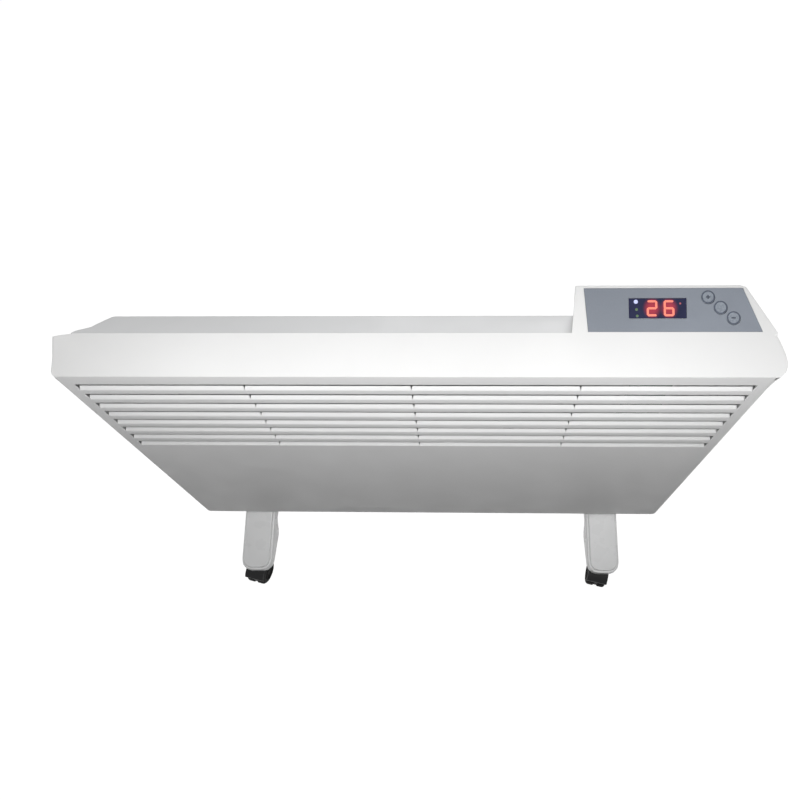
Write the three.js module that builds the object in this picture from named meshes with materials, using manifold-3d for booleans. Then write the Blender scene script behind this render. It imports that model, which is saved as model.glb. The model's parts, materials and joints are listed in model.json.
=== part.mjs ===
// Panel convector heater on castor feet.
// Millimetres, +Z up, front towards -Y. The origin is on the floor, under the middle of the object.
import * as THREE from 'three';
import { mergeVertices } from 'three/addons/utils/BufferGeometryUtils.js';
import Module from 'manifold-3d';

const wasm = await Module();
wasm.setup();

// ---- driving dimensions -------------------------------------------------------------------
// Case: a louvred front cover and a rear shell, screwed together along their side flanges.
const CASE_WIDTH = 740;
const FACE_HEIGHT = 420;
const COVER_DEPTH = 41;
const SHELL_DEPTH = 41;
const FLOOR_CLEARANCE = 88;
const SHEET = 1;
const GAP = 0.3;
const EDGE_BEND = 6;
const CORNER_RADIUS = { top: 3, bottom: 4 };
const FLANGE_WIDTH = 12;
const INLET = { length: 34, width: 5.5, count: 13, sideMargin: 30, coverRows: [14, 27] };
const SCREW = { shank: 2, head: 4, headHeight: 2.4, crown: 0.7 };
const COVER_SCREW = { length: 9, sideInset: 8.5, endInset: 38 };

// Louvres: each slot is cut down its middle and both lips are folded inwards.
const LOUVRE_ROWS = 8;
const LOUVRE_PITCH = 19.3;
const LOUVRE_OPENING = 13.3;
const LOUVRE_TOP_MARGIN = 13.3;
const LOUVRE_SIDE_MARGIN = 16;
const LOUVRE_SECTIONS = 4;
const LIP_BEND = 2.5;
const LIP_LEAN = THREE.MathUtils.degToRad(48);
const LIP_STRAIGHT = 3.85;
const LIP_STEPS = 2;
const NOTCH_WIDTH = 3.2;

// Rear shell: a pressed tray that draws in towards the wall behind it.
const SHELL_SIDE_STEP = 18;
const SHELL_SIDE_SLOPE = 27;
const SHELL_BACK_BEND = 4;
const SHELL_CORNER = 3;
const SHELL_ROOF_DROP = 1.6;
const CABLE_PASS = { leftInset: 14, rightInset: 24, front: 8, backInset: 11 };
const KEYHOLE = { spacing: 480, drop: 56, head: 5.5, slot: 2.6, rise: 14 };
const BACK_SLOT = { rows: 2, count: 9, length: 42, width: 6, rowPitch: 14, height: 24 };

// Top trim: a moulding that covers the top of the case and carries the controls at its right end.
const TRIM_RISE = 20;
const TRIM_WALL = 2.2;
const TRIM_LIP = 1;
const TRIM_NOSE = 3;
const END_BULGE = 9.5;
const BAND_STEPS = 8;
const END_SKIRT = 22;
const CONTROL_OVERHANG = 4;
const CONTROL_DRAFT = 0.13;
const CONTROL_EDGE = 3;
const CONTROL_CORNER = 1.5;

// The control panel's places are measured from the case's right side, and up the slope from the ridge.
const CONTROL_BOX = { leftFront: 206, leftBack: 201.5, rightBack: 29 };
const OVERLAY = {
  leftFront: 189.5, leftBack: 193.3, rightBack: 34, rightFront: 15.5,
  front: 1, backMargin: 4.5, thickness: 0.8,
};
const DISPLAY = {
  centre: 119.5, rise: 1.7, width: 57.5, height: 20.6, bezel: 2, moduleInset: 4, moduleTop: 3.8,
};
const KEY = {
  radius: 6.9, travel: 1, foot: -5.6, stalk: 2, rim: 1, crown: 0.1, backMargin: 9.4, frontMargin: 13.8,
};
const KEY_ROW = { middle: 56.6, plusPitch: 16.21707, minusPitch: 16.52009 };
const BOARD = { left: 181.5, right: 35, front: 9, backMargin: 5.6, depth: 9.5, thickness: 1.6 };
const BOARD_POST = { radius: 2.5, endInset: 7.5, edgeInset: 4 };
const SWITCH_HALF = 3;

// Heating element: one aluminium extrusion with four long and two short fins.
const ELEMENT = { leftInset: 85, rightInset: 135, fromBack: 45, rise: 88, core: 8, thickness: 2.2 };
const ELEMENT_FIN = { length: 36, lean: 24, side: 15 };
const ELEMENT_PIN = { radius: 4, reach: 26 };
const INSULATOR = { radius: 9, length: 18, collar: 12, collarFrom: 6, collarTo: 12 };
const BRACKET = { sheet: 1.5, frontReach: 16, halfHeight: 20, footLength: 14 };
const SHIELD = { sheet: 0.8, standOff: 10, aboveBottom: 66, belowTop: 70, endInset: 6 };
const CUTOUT = { fromElementEnd: 115, rise: 90, disc: 8, discHeight: 9, cap: 6.5, capHeight: 3, ear: 15 };
const CUTOUT_EAR = { halfHeight: 5, thickness: 1.2 };
const TAB = { half: 0.5, halfWidth: 3.2, length: 9, spacing: 4.5 };

// Electrical parts stand in a column beside the element, on the rear shell.
const SERVICE_INSET = 35;
const CARRIER = {
  width: 56, height: 120, belowTop: 88, thickness: 3, postRadius: 3, postHeight: 9, inset: 6,
};
const POWER_BOARD = { margin: 2, thickness: 1.6, edge: 4 };
const RELAY = { size: 18, height: 16, rises: [28, 58] };
const CAPACITOR = { width: 16, length: 26, height: 13, rise: 22 };
const CONNECTOR = { width: 40, length: 12, height: 11, rise: 88 };
const TERMINALS = { width: 48, height: 22, depth: 16, rise: 112, well: 3, wellDepth: 9, wellPitch: 16 };
const TILT = { footOffset: 21, front: 7, size: 20, height: 24, ear: 16, earThickness: 2 };
const SENSOR = {
  footOffset: 44, fromJoint: 6, width: 14, depth: 10, clipHeight: 6, probe: 3, probeHeight: 22,
};
const GLAND = {
  inset: 29, rise: 62, bore: 3.6, neck: 8, tail: 16, collar: 12, collarHeight: 4, nose: 13, taper: 7.5,
};
const GLAND_NUT = { radius: 13, height: 5 };

// Feet: a hollow moulding with a raised pad, on two castors each.
const FOOT_INSET = 87;
const FOOT_HALF_LENGTH = 127;
const FOOT_HALF_WIDTH = 25;
const FOOT_TIP_RADIUS = 16;
const FOOT_WALL = 2.6;
const FOOT_EDGE = 2;
const FOOT_SKIN = 1;
const PAD = { inset: 3.3, raise: 4, tipDrop: 27, edge: 2.5, levelInset: 6, bend: 0.12 };
const ARCH = { drop: 20, halfLength: 40, run: 26 };
const FOOT_RIBS = { places: [52, 78], half: 1, setBack: 3 };
const FOOT_SCREW = { spacing: 40, reach: 6, seat: 4, boss: 5.5 };
const SWIVEL_BOSS = 9;
const FOOT_HEADROOM = 2;

// Castors: a fork with a central web between two wheels, and a fender over them.
const SWIVEL_Y = 100;
const CASTOR_TRAIL = 20;
const CASTOR_HEADING = THREE.MathUtils.degToRad(13);
const CASTOR_HEADROOM = 4.5;
const WHEEL_RADIUS = 20;
const WHEEL_WIDTH = 12;
const WHEEL_SIDES = 18;
const WHEEL_SHOULDER = 4.5;
const WHEEL_RIM = 8;
const WHEEL_DISH = 1.2;
const WEB_WIDTH = 6;
const WEB_SETBACK = 1.5;
const FENDER = { clearance: 1, thickness: 2, frontReach: 18, backReach: 60, rise: 10 };
const STEM = { radius: 3.7, boss: 8.5, bossHeight: 7.2, overTread: 0.4108, endWall: 2.5 };
const AXLE = { radius: 2, endWall: 3 };

// ---- values that follow from them ---------------------------------------------------------
const HALF_WIDTH = CASE_WIDTH / 2;
const FACE_Y = -COVER_DEPTH;
const BACK_Y = SHELL_DEPTH;
const BACK_INSIDE = BACK_Y - SHEET - GAP;
const FACE_BOTTOM = FLOOR_CLEARANCE;
const FACE_TOP = FLOOR_CLEARANCE + FACE_HEIGHT;
const FLOOR_INSIDE = FACE_BOTTOM + SHEET + GAP;
const LOUVRE_HALF = HALF_WIDTH - LOUVRE_SIDE_MARGIN;
const SHELL_HALF_FRONT = HALF_WIDTH - SHELL_SIDE_STEP;
const SHELL_HALF_BACK = SHELL_HALF_FRONT - SHELL_SIDE_SLOPE;
const SLOPE = TRIM_RISE / COVER_DEPTH;
const SLOPE_ANGLE = Math.atan(SLOPE);
const RIDGE_Z = FACE_TOP + TRIM_RISE;
const CONTROL_DEPTH = SHELL_DEPTH + CONTROL_OVERHANG;
const SLOPE_LENGTH = CONTROL_DEPTH / Math.cos(SLOPE_ANGLE);
const OVERLAY_BACK = SLOPE_LENGTH - OVERLAY.backMargin;
const OVERLAY_MIDDLE = (OVERLAY.front + OVERLAY_BACK) / 2;
const BOARD_BACK = OVERLAY_BACK - BOARD.backMargin;
const ELEMENT_LEFT = -HALF_WIDTH + ELEMENT.leftInset;
const ELEMENT_RIGHT = HALF_WIDTH - ELEMENT.rightInset;
const ELEMENT_Y = BACK_Y - ELEMENT.fromBack;
const ELEMENT_Z = FACE_BOTTOM + ELEMENT.rise;
const SHIELD_FRONT = BACK_Y - SHIELD.standOff;
const SERVICE_X = SHELL_HALF_BACK - SERVICE_INSET;
const CARRIER_TOP = FACE_TOP - CARRIER.belowTop;
const CARRIER_BOTTOM = CARRIER_TOP - CARRIER.height;
const GLAND_X = SHELL_HALF_BACK - GLAND.inset;
const GLAND_Z = FACE_BOTTOM + GLAND.rise;
const FOOT_X = HALF_WIDTH - FOOT_INSET;
const PAD_LEVEL = FLOOR_CLEARANCE - GAP;
const ARCH_UNDERSIDE = FLOOR_CLEARANCE - ARCH.drop;
const CASTOR_TOP = 2 * WHEEL_RADIUS + CASTOR_HEADROOM;
const TREAD_AT_STEM = Math.sqrt(WHEEL_RADIUS ** 2 - (CASTOR_TRAIL - STEM.radius) ** 2);
const STEM_FOOT = WHEEL_RADIUS + TREAD_AT_STEM + STEM.overTread;
const FOOT_UNDERSIDE = CASTOR_TOP + FOOT_HEADROOM;
const SCREW_SEAT = ARCH_UNDERSIDE + FOOT_SCREW.seat;
const SCREW_HOLE = SCREW.shank + GAP;

// ---- materials ----------------------------------------------------------------------------
function finish(color, roughness, metalness = 0) {
  return new THREE.MeshStandardMaterial({ color, roughness, metalness });
}

const PAINTED_STEEL = finish(0xeeeeee, 0.38);
const PAINTED_BACK = finish(0xd8d9da, 0.45);
const WHITE_PLASTIC = finish(0xf2f2f1, 0.3);
const FOOT_PLASTIC = finish(0xe6e7e7, 0.25);
const BLACK_PLASTIC = finish(0x141414, 0.5);
const OVERLAY_FILM = finish(0x8c98a8, 0.15);
const DARK_LENS = finish(0x0d1b3a, 0.1);
const BARE_STEEL = finish(0xb8babc, 0.35, 1);
const ALUMINIUM = finish(0xc4c6c8, 0.45, 1);
const CERAMIC = finish(0xece6d8, 0.6);
const BOARD_GREEN = finish(0x1f5b38, 0.5);

// ---- solids -------------------------------------------------------------------------------
function toSolid(geometry) {
  const plain = geometry.clone();
  plain.deleteAttribute('normal');
  plain.deleteAttribute('uv');
  const merged = mergeVertices(plain, 1e-4);
  return new wasm.Manifold(new wasm.Mesh({
    numProp: 3,
    vertProperties: Float32Array.from(merged.attributes.position.array),
    triVerts: Uint32Array.from(merged.index.array),
  }));
}

function toGeometry(solid) {
  const mesh = solid.getMesh();
  const geometry = new THREE.BufferGeometry();
  geometry.setAttribute('position', new THREE.BufferAttribute(mesh.vertProperties, 3));
  geometry.setIndex(new THREE.BufferAttribute(mesh.triVerts, 1));
  geometry.computeVertexNormals();
  return geometry;
}

function unite(solids) {
  return solids.reduce((sum, solid) => sum.add(solid));
}

function cutAll(solid, cutters) {
  return cutters.length ? solid.subtract(unite(cutters)) : solid;
}

function box(x0, x1, y0, y1, z0, z1) {
  const geometry = new THREE.BoxGeometry(x1 - x0, y1 - y0, z1 - z0);
  geometry.translate((x0 + x1) / 2, (y0 + y1) / 2, (z0 + z1) / 2);
  return toSolid(geometry);
}

const LOCAL_AXES = {
  // each axis: where the drawn x and y and the extrusion direction go
  x: new THREE.Matrix4().set(0, 0, 1, 0, 1, 0, 0, 0, 0, 1, 0, 0, 0, 0, 0, 1),
  y: new THREE.Matrix4().set(0, 1, 0, 0, 0, 0, 1, 0, 1, 0, 0, 0, 0, 0, 0, 1),
  z: new THREE.Matrix4(),
};

// Extrudes an outline along one axis. It is drawn in the other two, in the order y-z, z-x or x-y.
function extrude(axis, shape, from, to, curveSegments = 6) {
  const options = { depth: to - from, bevelEnabled: false, curveSegments };
  const geometry = new THREE.ExtrudeGeometry(shape, options);
  geometry.translate(0, 0, from);
  geometry.applyMatrix4(LOCAL_AXES[axis]);
  return toSolid(geometry);
}

function rod(axis, radius, from, to, a = 0, b = 0, segments = 20) {
  const shape = new THREE.Shape();
  shape.absarc(a, b, radius, 0, Math.PI * 2);
  return extrude(axis, shape, from, to, segments / 2);
}

function outline(points) {
  return new THREE.Shape(points.map(([a, b]) => new THREE.Vector2(a, b)));
}

// Turns a profile of radii and heights about the z axis.
function turned(profile, segments, start = 0) {
  const points = profile.map(([radius, height]) => new THREE.Vector2(radius, height));
  return new THREE.LatheGeometry(points, segments, start);
}

// Skins a stack of rings of equal length, from first to last, and closes both ends.
function loft(rings) {
  const count = rings[0].length;
  const positions = rings.flat().flatMap((point) => [point.x, point.y, point.z]);
  const index = [];
  for (let r = 0; r < rings.length - 1; r += 1) {
    for (let i = 0; i < count; i += 1) {
      const a = r * count + i;
      const b = r * count + ((i + 1) % count);
      index.push(a, b, a + count, b, b + count, a + count);
    }
  }
  const last = (rings.length - 1) * count;
  for (let i = 1; i < count - 1; i += 1) {
    index.push(0, i + 1, i);
    index.push(last, last + i, last + i + 1);
  }
  const geometry = new THREE.BufferGeometry();
  geometry.setAttribute('position', new THREE.Float32BufferAttribute(positions, 3));
  geometry.setIndex(index);
  const solid = toSolid(geometry);
  if (solid.volume() >= 0) return solid;
  geometry.setIndex(index.map((_, i) => index[i - (i % 3) + [0, 2, 1][i % 3]]));
  return toSolid(geometry);
}

// A ring in the x-z plane at depth y: a rectangle whose corners are rounded where they have a radius.
function ring(y, left, right, bottom, top, radii, steps = 2) {
  const room = Math.min(right - left, top - bottom) * 0.49;
  const corners = [
    { x: right, z: bottom, sx: -1, sz: 1, start: -90, r: radii.bottom },
    { x: right, z: top, sx: -1, sz: -1, start: 0, r: radii.topRight },
    { x: left, z: top, sx: 1, sz: -1, start: 90, r: radii.topLeft },
    { x: left, z: bottom, sx: 1, sz: 1, start: 180, r: radii.bottom },
  ];
  const points = [];
  for (const corner of corners) {
    const turns = corner.r ? steps : 0;
    const r = Math.min(corner.r, room);
    for (let i = 0; i <= turns; i += 1) {
      const angle = THREE.MathUtils.degToRad(corner.start + (90 * i) / steps);
      points.push(new THREE.Vector3(
        corner.x + corner.sx * r + r * Math.cos(angle),
        y,
        corner.z + corner.sz * r + r * Math.sin(angle),
      ));
    }
  }
  return points;
}

// Depths and insets of a quarter round of the given radius, from its tip to its flank.
function quarterRound(radius, steps = 4) {
  const stations = [];
  for (let i = 0; i <= steps; i += 1) {
    const angle = (Math.PI / 2) * (i / steps);
    stations.push({ depth: radius * (1 - Math.cos(angle)), inset: radius * (1 - Math.sin(angle)) });
  }
  return stations;
}

function evenly(from, to, steps) {
  return Array.from({ length: steps + 1 }, (_, i) => THREE.MathUtils.lerp(from, to, i / steps));
}

// A smooth run from 0 to 1 while the value goes from start to end.
function easeBetween(value, start, end) {
  const run = THREE.MathUtils.clamp((value - start) / (end - start), 0, 1);
  return (1 - Math.cos(Math.PI * run)) / 2;
}

const root = new THREE.Group();
root.position.x = -END_BULGE / 2;

function place(name, solid, material, parent = root) {
  const mesh = new THREE.Mesh(toGeometry(solid), material);
  mesh.name = name;
  parent.add(mesh);
}

// ---- front cover --------------------------------------------------------------------------
function coverTray(offset, depth) {
  const corner = { bottom: CORNER_RADIUS.bottom, topLeft: CORNER_RADIUS.top, topRight: CORNER_RADIUS.top };
  const layer = (y, inset) => {
    const half = HALF_WIDTH - offset - inset;
    return ring(y, -half, half, FACE_BOTTOM + offset + inset, FACE_TOP - offset, corner);
  };
  const rings = quarterRound(EDGE_BEND - offset).map((s) => layer(FACE_Y + offset + s.depth, s.inset));
  rings.push(layer(FACE_Y + depth, 0));
  return loft(rings);
}

// One lip in the y-z plane, from the flat sheet round the bend to its free edge.
function lipProfile(edgeZ, direction) {
  const centreY = FACE_Y + LIP_BEND;
  const arc = (radius) => evenly(0, LIP_LEAN, LIP_STEPS).map((angle) => [
    centreY - radius * Math.cos(angle),
    edgeZ + direction * radius * Math.sin(angle),
  ]);
  const freeEdge = (point) => [
    point[0] + LIP_STRAIGHT * Math.sin(LIP_LEAN),
    point[1] + direction * LIP_STRAIGHT * Math.cos(LIP_LEAN),
  ];
  const outer = arc(LIP_BEND);
  const inner = arc(LIP_BEND - SHEET).reverse();
  const rootOutside = [FACE_Y, edgeZ - direction * SHEET];
  const rootInside = [FACE_Y + SHEET, edgeZ - direction * SHEET];
  const tip = [freeEdge(outer[LIP_STEPS]), freeEdge(inner[0])];
  const points = [rootOutside, ...outer, ...tip, ...inner, rootInside];
  return outline(direction > 0 ? points.reverse() : points);
}

// The notch that parts two lip sections, seen from the front.
function lipNotch(x, slotBottom, slotTop) {
  const tip = LIP_BEND * Math.sin(LIP_LEAN) + LIP_STRAIGHT * Math.cos(LIP_LEAN) + SHEET;
  const half = NOTCH_WIDTH / 2;
  const shape = outline([
    [slotBottom + SHEET, x],
    [slotBottom + tip, x + half],
    [slotTop - tip, x + half],
    [slotTop - SHEET, x],
    [slotTop - tip, x - half],
    [slotBottom + tip, x - half],
  ]);
  return extrude('y', shape, FACE_Y - SHEET, FACE_Y + LIP_BEND + LIP_STRAIGHT + SHEET);
}

// A row of air inlets through the underside. It leaves out those that a foot would cover.
function inletSlots(y, halfWidth) {
  const pitch = (2 * halfWidth) / INLET.count;
  const half = INLET.length / 2;
  const clearOfFeet = (x) => Math.abs(Math.abs(x) - FOOT_X) > FOOT_HALF_WIDTH + half + SHEET;
  return evenly(pitch / 2 - halfWidth, halfWidth - pitch / 2, INLET.count - 1)
    .filter(clearOfFeet)
    .map((x) => {
      const [y0, y1] = [y - INLET.width / 2, y + INLET.width / 2];
      return box(x - half, x + half, y0, y1, FACE_BOTTOM - SHEET, FACE_BOTTOM + 2 * SHEET);
    });
}

// Screw places along both sides, at the ends and in the middle of the face's height.
function coverScrewPlaces() {
  const low = FACE_BOTTOM + COVER_SCREW.endInset;
  const high = FACE_TOP - COVER_SCREW.endInset;
  const x = HALF_WIDTH - COVER_SCREW.sideInset;
  return [-1, 1].flatMap((side) => evenly(low, high, 2).map((z) => [side * x, z]));
}

function coverScrewHoles() {
  return coverScrewPlaces().map(([x, z]) => rod('y', SCREW_HOLE, -2 * SHEET, 3 * SHEET, z, x, 8));
}

function footScrewPlaces() {
  const places = [];
  for (const side of [-1, 1]) {
    for (const end of [-1, 1]) places.push([side * FOOT_X, (end * FOOT_SCREW.spacing) / 2]);
  }
  return places;
}

function footScrewHoles(places, from) {
  return places.map(([x, y]) => rod('z', SCREW_HOLE, from, FACE_BOTTOM + 2 * SHEET, x, y, 8));
}

function frontCover() {
  const tray = coverTray(0, COVER_DEPTH).subtract(coverTray(SHEET, COVER_DEPTH + SHEET));
  const slots = [];
  const lips = [];
  const notches = [];
  for (let row = 0; row < LOUVRE_ROWS; row += 1) {
    const top = FACE_TOP - LOUVRE_TOP_MARGIN - row * LOUVRE_PITCH;
    const bottom = top - LOUVRE_OPENING;
    slots.push(box(-LOUVRE_HALF, LOUVRE_HALF, FACE_Y - SHEET, FACE_Y + 2 * SHEET, bottom, top));
    lips.push(extrude('x', lipProfile(bottom, 1), -LOUVRE_HALF + GAP, LOUVRE_HALF - GAP));
    lips.push(extrude('x', lipProfile(top, -1), -LOUVRE_HALF + GAP, LOUVRE_HALF - GAP));
    for (let i = 1; i < LOUVRE_SECTIONS; i += 1) {
      notches.push(lipNotch(-LOUVRE_HALF + (2 * LOUVRE_HALF * i) / LOUVRE_SECTIONS, bottom, top));
    }
  }
  const parted = lips.map((lip) => cutAll(lip, notches));
  const side = HALF_WIDTH - SHEET / 2;
  const flanges = [-side, side - FLANGE_WIDTH].map((x) => (
    box(x, x + FLANGE_WIDTH, -SHEET, 0, FACE_BOTTOM + SHEET / 2, FACE_TOP - SHEET / 2)
  ));
  const cover = unite([cutAll(tray, slots), ...parted, ...flanges]);
  const inletHalf = HALF_WIDTH - INLET.sideMargin;
  const inlets = INLET.coverRows.flatMap((depth) => inletSlots(FACE_Y + depth, inletHalf));
  const frontPlaces = footScrewPlaces().filter(([, y]) => y < 0);
  const footHoles = footScrewHoles(frontPlaces, FACE_BOTTOM - SHEET);
  return cutAll(cover, [...inlets, ...coverScrewHoles(), ...footHoles]);
}

// ---- rear shell ---------------------------------------------------------------------------
function shellHalfWidth(y) {
  const drawn = easeBetween(y, GAP, SHELL_DEPTH - SHELL_BACK_BEND);
  return THREE.MathUtils.lerp(SHELL_HALF_FRONT, SHELL_HALF_BACK, drawn);
}

function shellRoof(y) {
  return RIDGE_Z - SHELL_ROOF_DROP - SLOPE * y;
}

function shellTray(offset, front) {
  const corner = { bottom: SHELL_CORNER, topLeft: SHELL_CORNER, topRight: SHELL_CORNER };
  const layer = (y, inset) => {
    const half = shellHalfWidth(y) - offset - inset;
    return ring(y, -half, half, FACE_BOTTOM + offset + inset, shellRoof(y) - offset - inset, corner);
  };
  const flank = evenly(GAP + SHEET, BACK_Y - SHELL_BACK_BEND - SHEET / 2, 5).map((y) => layer(y, 0));
  const turn = quarterRound(SHELL_BACK_BEND - offset, 2).reverse();
  return loft([layer(front, 0), ...flank, ...turn.map((s) => layer(BACK_Y - offset - s.depth, s.inset))]);
}

function keyhole(x, z) {
  const shape = new THREE.Shape();
  const neck = Math.asin(KEYHOLE.slot / KEYHOLE.head);
  shape.absarc(z, x, KEYHOLE.head, neck, Math.PI * 2 - neck, false);
  shape.absarc(z + KEYHOLE.rise, x, KEYHOLE.slot, -Math.PI / 2, Math.PI / 2, false);
  return extrude('y', shape, BACK_Y - 3 * SHEET, BACK_Y + SHEET);
}

function backSlots() {
  const pitch = (ELEMENT_RIGHT - ELEMENT_LEFT) / BACK_SLOT.count;
  const half = BACK_SLOT.length / 2;
  const slots = [];
  for (let row = 0; row < BACK_SLOT.rows; row += 1) {
    const z = FACE_BOTTOM + BACK_SLOT.height + row * BACK_SLOT.rowPitch;
    for (const x of evenly(ELEMENT_LEFT + pitch / 2, ELEMENT_RIGHT - pitch / 2, BACK_SLOT.count - 1)) {
      slots.push(box(x - half, x + half, BACK_Y - 3 * SHEET, BACK_Y + SHEET, z, z + BACK_SLOT.width));
    }
  }
  return slots;
}

function cablePass() {
  const left = HALF_WIDTH - CONTROL_BOX.leftBack + CABLE_PASS.leftInset;
  const right = HALF_WIDTH - CONTROL_BOX.rightBack - CABLE_PASS.rightInset;
  return box(left, right, CABLE_PASS.front, BACK_Y - CABLE_PASS.backInset, FACE_TOP - SHEET, RIDGE_Z + SHEET);
}

function rearShell() {
  const tray = shellTray(0, GAP).subtract(shellTray(SHEET, -SHEET));
  const inner = SHELL_HALF_FRONT - SHEET / 2;
  const outer = HALF_WIDTH - SHEET - SHELL_CORNER;
  const sides = [[-outer, -inner], [inner, outer]];
  const flanges = sides.map(([x0, x1]) => (
    box(x0, x1, GAP, GAP + SHEET, FACE_BOTTOM + SHELL_CORNER + SHEET, FACE_TOP)
  ));
  const keyholes = [-1, 1].map((side) => keyhole((side * KEYHOLE.spacing) / 2, FACE_TOP - KEYHOLE.drop));
  const inlets = inletSlots(SHELL_DEPTH / 2, SHELL_HALF_BACK - INLET.sideMargin);
  const glandHole = rod('y', GLAND.neck + GAP, BACK_Y - 3 * SHEET, BACK_Y + SHEET, GLAND_Z, GLAND_X, 18);
  const rearPlaces = footScrewPlaces().filter(([, y]) => y > 0);
  const footHoles = footScrewHoles(rearPlaces, FACE_BOTTOM - SHEET);
  const holes = [...coverScrewHoles(), ...footHoles, glandHole, cablePass()];
  return cutAll(unite([tray, ...flanges]), [...keyholes, ...backSlots(), ...inlets, ...holes]);
}

// ---- top trim -----------------------------------------------------------------------------
// The right end swells outwards between the face and the ridge.
function trimRight(y) {
  const curve = new THREE.QuadraticBezierCurve(
    new THREE.Vector2(FACE_Y, HALF_WIDTH),
    new THREE.Vector2(FACE_Y + COVER_DEPTH / 4, HALF_WIDTH + 2 * END_BULGE),
    new THREE.Vector2(0, HALF_WIDTH),
  );
  let low = 0;
  let high = 1;
  for (let i = 0; i < 30; i += 1) {
    const middle = (low + high) / 2;
    if (curve.getPoint(middle).x < y) low = middle;
    else high = middle;
  }
  return curve.getPoint(low).y;
}

function slopeTop(y) {
  return RIDGE_Z + SLOPE * y + GAP;
}

// The sloping band over the front cover, solid or, with a wall, the hollow inside it.
function band(wall) {
  const corner = { bottom: 0, topLeft: wall ? 0 : SHELL_CORNER, topRight: wall ? 0 : EDGE_BEND };
  const drop = wall / Math.cos(SLOPE_ANGLE);
  const front = FACE_Y + (wall ? wall + TRIM_NOSE : 0);
  const bottom = FACE_TOP + GAP - (wall ? SHEET : 0);
  return loft(evenly(front, -wall, BAND_STEPS).map((y) => {
    const lip = TRIM_LIP * (-y / COVER_DEPTH);
    const top = Math.max(slopeTop(y) + lip - drop, bottom + TRIM_LIP);
    return ring(y, -HALF_WIDTH + wall, trimRight(y) - wall, bottom, top, corner);
  }));
}

// The control box behind the band, solid or, with a wall, the hollow inside it.
function controlBox(wall) {
  const drop = wall / Math.cos(SLOPE_ANGLE);
  const back = CONTROL_DEPTH - wall;
  const front = wall ? FACE_Y / 4 : -CONTROL_EDGE;
  const corner = { bottom: 0, topLeft: wall ? 0 : CONTROL_CORNER, topRight: wall ? 0 : EDGE_BEND };
  const layer = (y, inset) => {
    const share = THREE.MathUtils.clamp(y / CONTROL_DEPTH, 0, 1);
    const left = HALF_WIDTH - THREE.MathUtils.lerp(CONTROL_BOX.leftFront, CONTROL_BOX.leftBack, share) + wall;
    const right = HALF_WIDTH - THREE.MathUtils.lerp(0, CONTROL_BOX.rightBack, share) - wall - inset;
    const top = slopeTop(y) - drop - inset;
    const bottom = y < 0 ? FACE_TOP + GAP : shellRoof(y) + GAP - (wall ? 2 * SHEET : 0);
    const points = ring(y, left, right, bottom, top, corner);
    points[points.length - 1].x += (top - bottom) * CONTROL_DRAFT;
    return points;
  };
  const turn = quarterRound(wall ? SHEET : CONTROL_EDGE, wall ? 1 : 3).reverse();
  return loft([layer(front, 0), layer(0, 0), ...turn.map((s) => layer(back - s.depth, s.inset))]);
}

// Takes a solid drawn on the sloping control panel to its place in the assembly.
function onSlope(solid) {
  const tilt = THREE.MathUtils.radToDeg(SLOPE_ANGLE);
  return solid.rotate([tilt, 0, 0]).translate([HALF_WIDTH, 0, RIDGE_Z + GAP]);
}

function overlayShape(clearance) {
  return outline([
    [-OVERLAY.leftFront - clearance, OVERLAY.front - clearance],
    [-OVERLAY.rightFront + clearance, OVERLAY.front - clearance],
    [-OVERLAY.rightBack + clearance, OVERLAY_BACK + clearance],
    [-OVERLAY.leftBack - clearance, OVERLAY_BACK + clearance],
  ]);
}

function windowPrism(clearance, bottom, top) {
  const w = DISPLAY.width / 2 + clearance;
  const h = DISPLAY.height / 2 + clearance;
  const x = -DISPLAY.centre;
  const v = OVERLAY_MIDDLE + DISPLAY.rise;
  return box(x - w, x + w, v - h, v + h, bottom, top);
}

// The keys stand in a slanting row, from the back edge of the overlay to the front one. Their pitch
// along the row stays, so the row lies flatter on a shorter slope.
function keys() {
  const plus = OVERLAY_BACK - KEY.backMargin;
  const minus = OVERLAY.front + KEY.frontMargin;
  const step = (plus - minus) / 2;
  const across = (pitch) => Math.sqrt(Math.max(0, pitch * pitch - step * step));
  return [
    { name: 'key_plus', x: -KEY_ROW.middle - across(KEY_ROW.plusPitch), v: plus },
    { name: 'key_mode', x: -KEY_ROW.middle, v: (plus + minus) / 2 },
    { name: 'key_minus', x: -KEY_ROW.middle + across(KEY_ROW.minusPitch), v: minus },
  ];
}

function keyHoles() {
  return keys().map((key) => rod('z', KEY.radius + GAP, -TRIM_WALL - 1, 1, key.x, key.v, 18));
}

function boardPosts() {
  const left = -BOARD.left + BOARD_POST.endInset;
  const right = -BOARD.right - BOARD_POST.endInset;
  const middle = keys()[0].x;
  const places = [[left, BOARD.front], [left, BOARD_BACK], [middle, BOARD.front], [right, BOARD_BACK]];
  return places.map(([x, edge]) => {
    const v = edge + Math.sign(OVERLAY_MIDDLE - edge) * BOARD_POST.edgeInset;
    return rod('z', BOARD_POST.radius, -BOARD.depth + GAP, -TRIM_WALL / 2, x, v, 10);
  });
}

// The bulging right end hangs down over the side of the cover.
function endSkirt() {
  const plan = evenly(FACE_Y, 0, BAND_STEPS).map((y) => [trimRight(y), y]);
  const solid = extrude('z', outline(plan), FACE_TOP - END_SKIRT, FACE_TOP + GAP + TRIM_LIP / 2);
  return solid.subtract(box(0, HALF_WIDTH + GAP, 2 * FACE_Y, BACK_Y, FACE_BOTTOM, FACE_TOP + GAP));
}

function topTrim() {
  const outer = unite([band(0), controlBox(0), endSkirt()]);
  const hollow = unite([band(TRIM_WALL), controlBox(TRIM_WALL)]);
  const recess = extrude('z', overlayShape(GAP), -OVERLAY.thickness - GAP, 3);
  const opening = windowPrism(-DISPLAY.bezel, -TRIM_WALL - 2 * SHEET, 1);
  const shell = unite([outer.subtract(hollow), ...boardPosts().map(onSlope)]);
  return cutAll(shell, [recess, opening, ...keyHoles()].map(onSlope));
}

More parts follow.
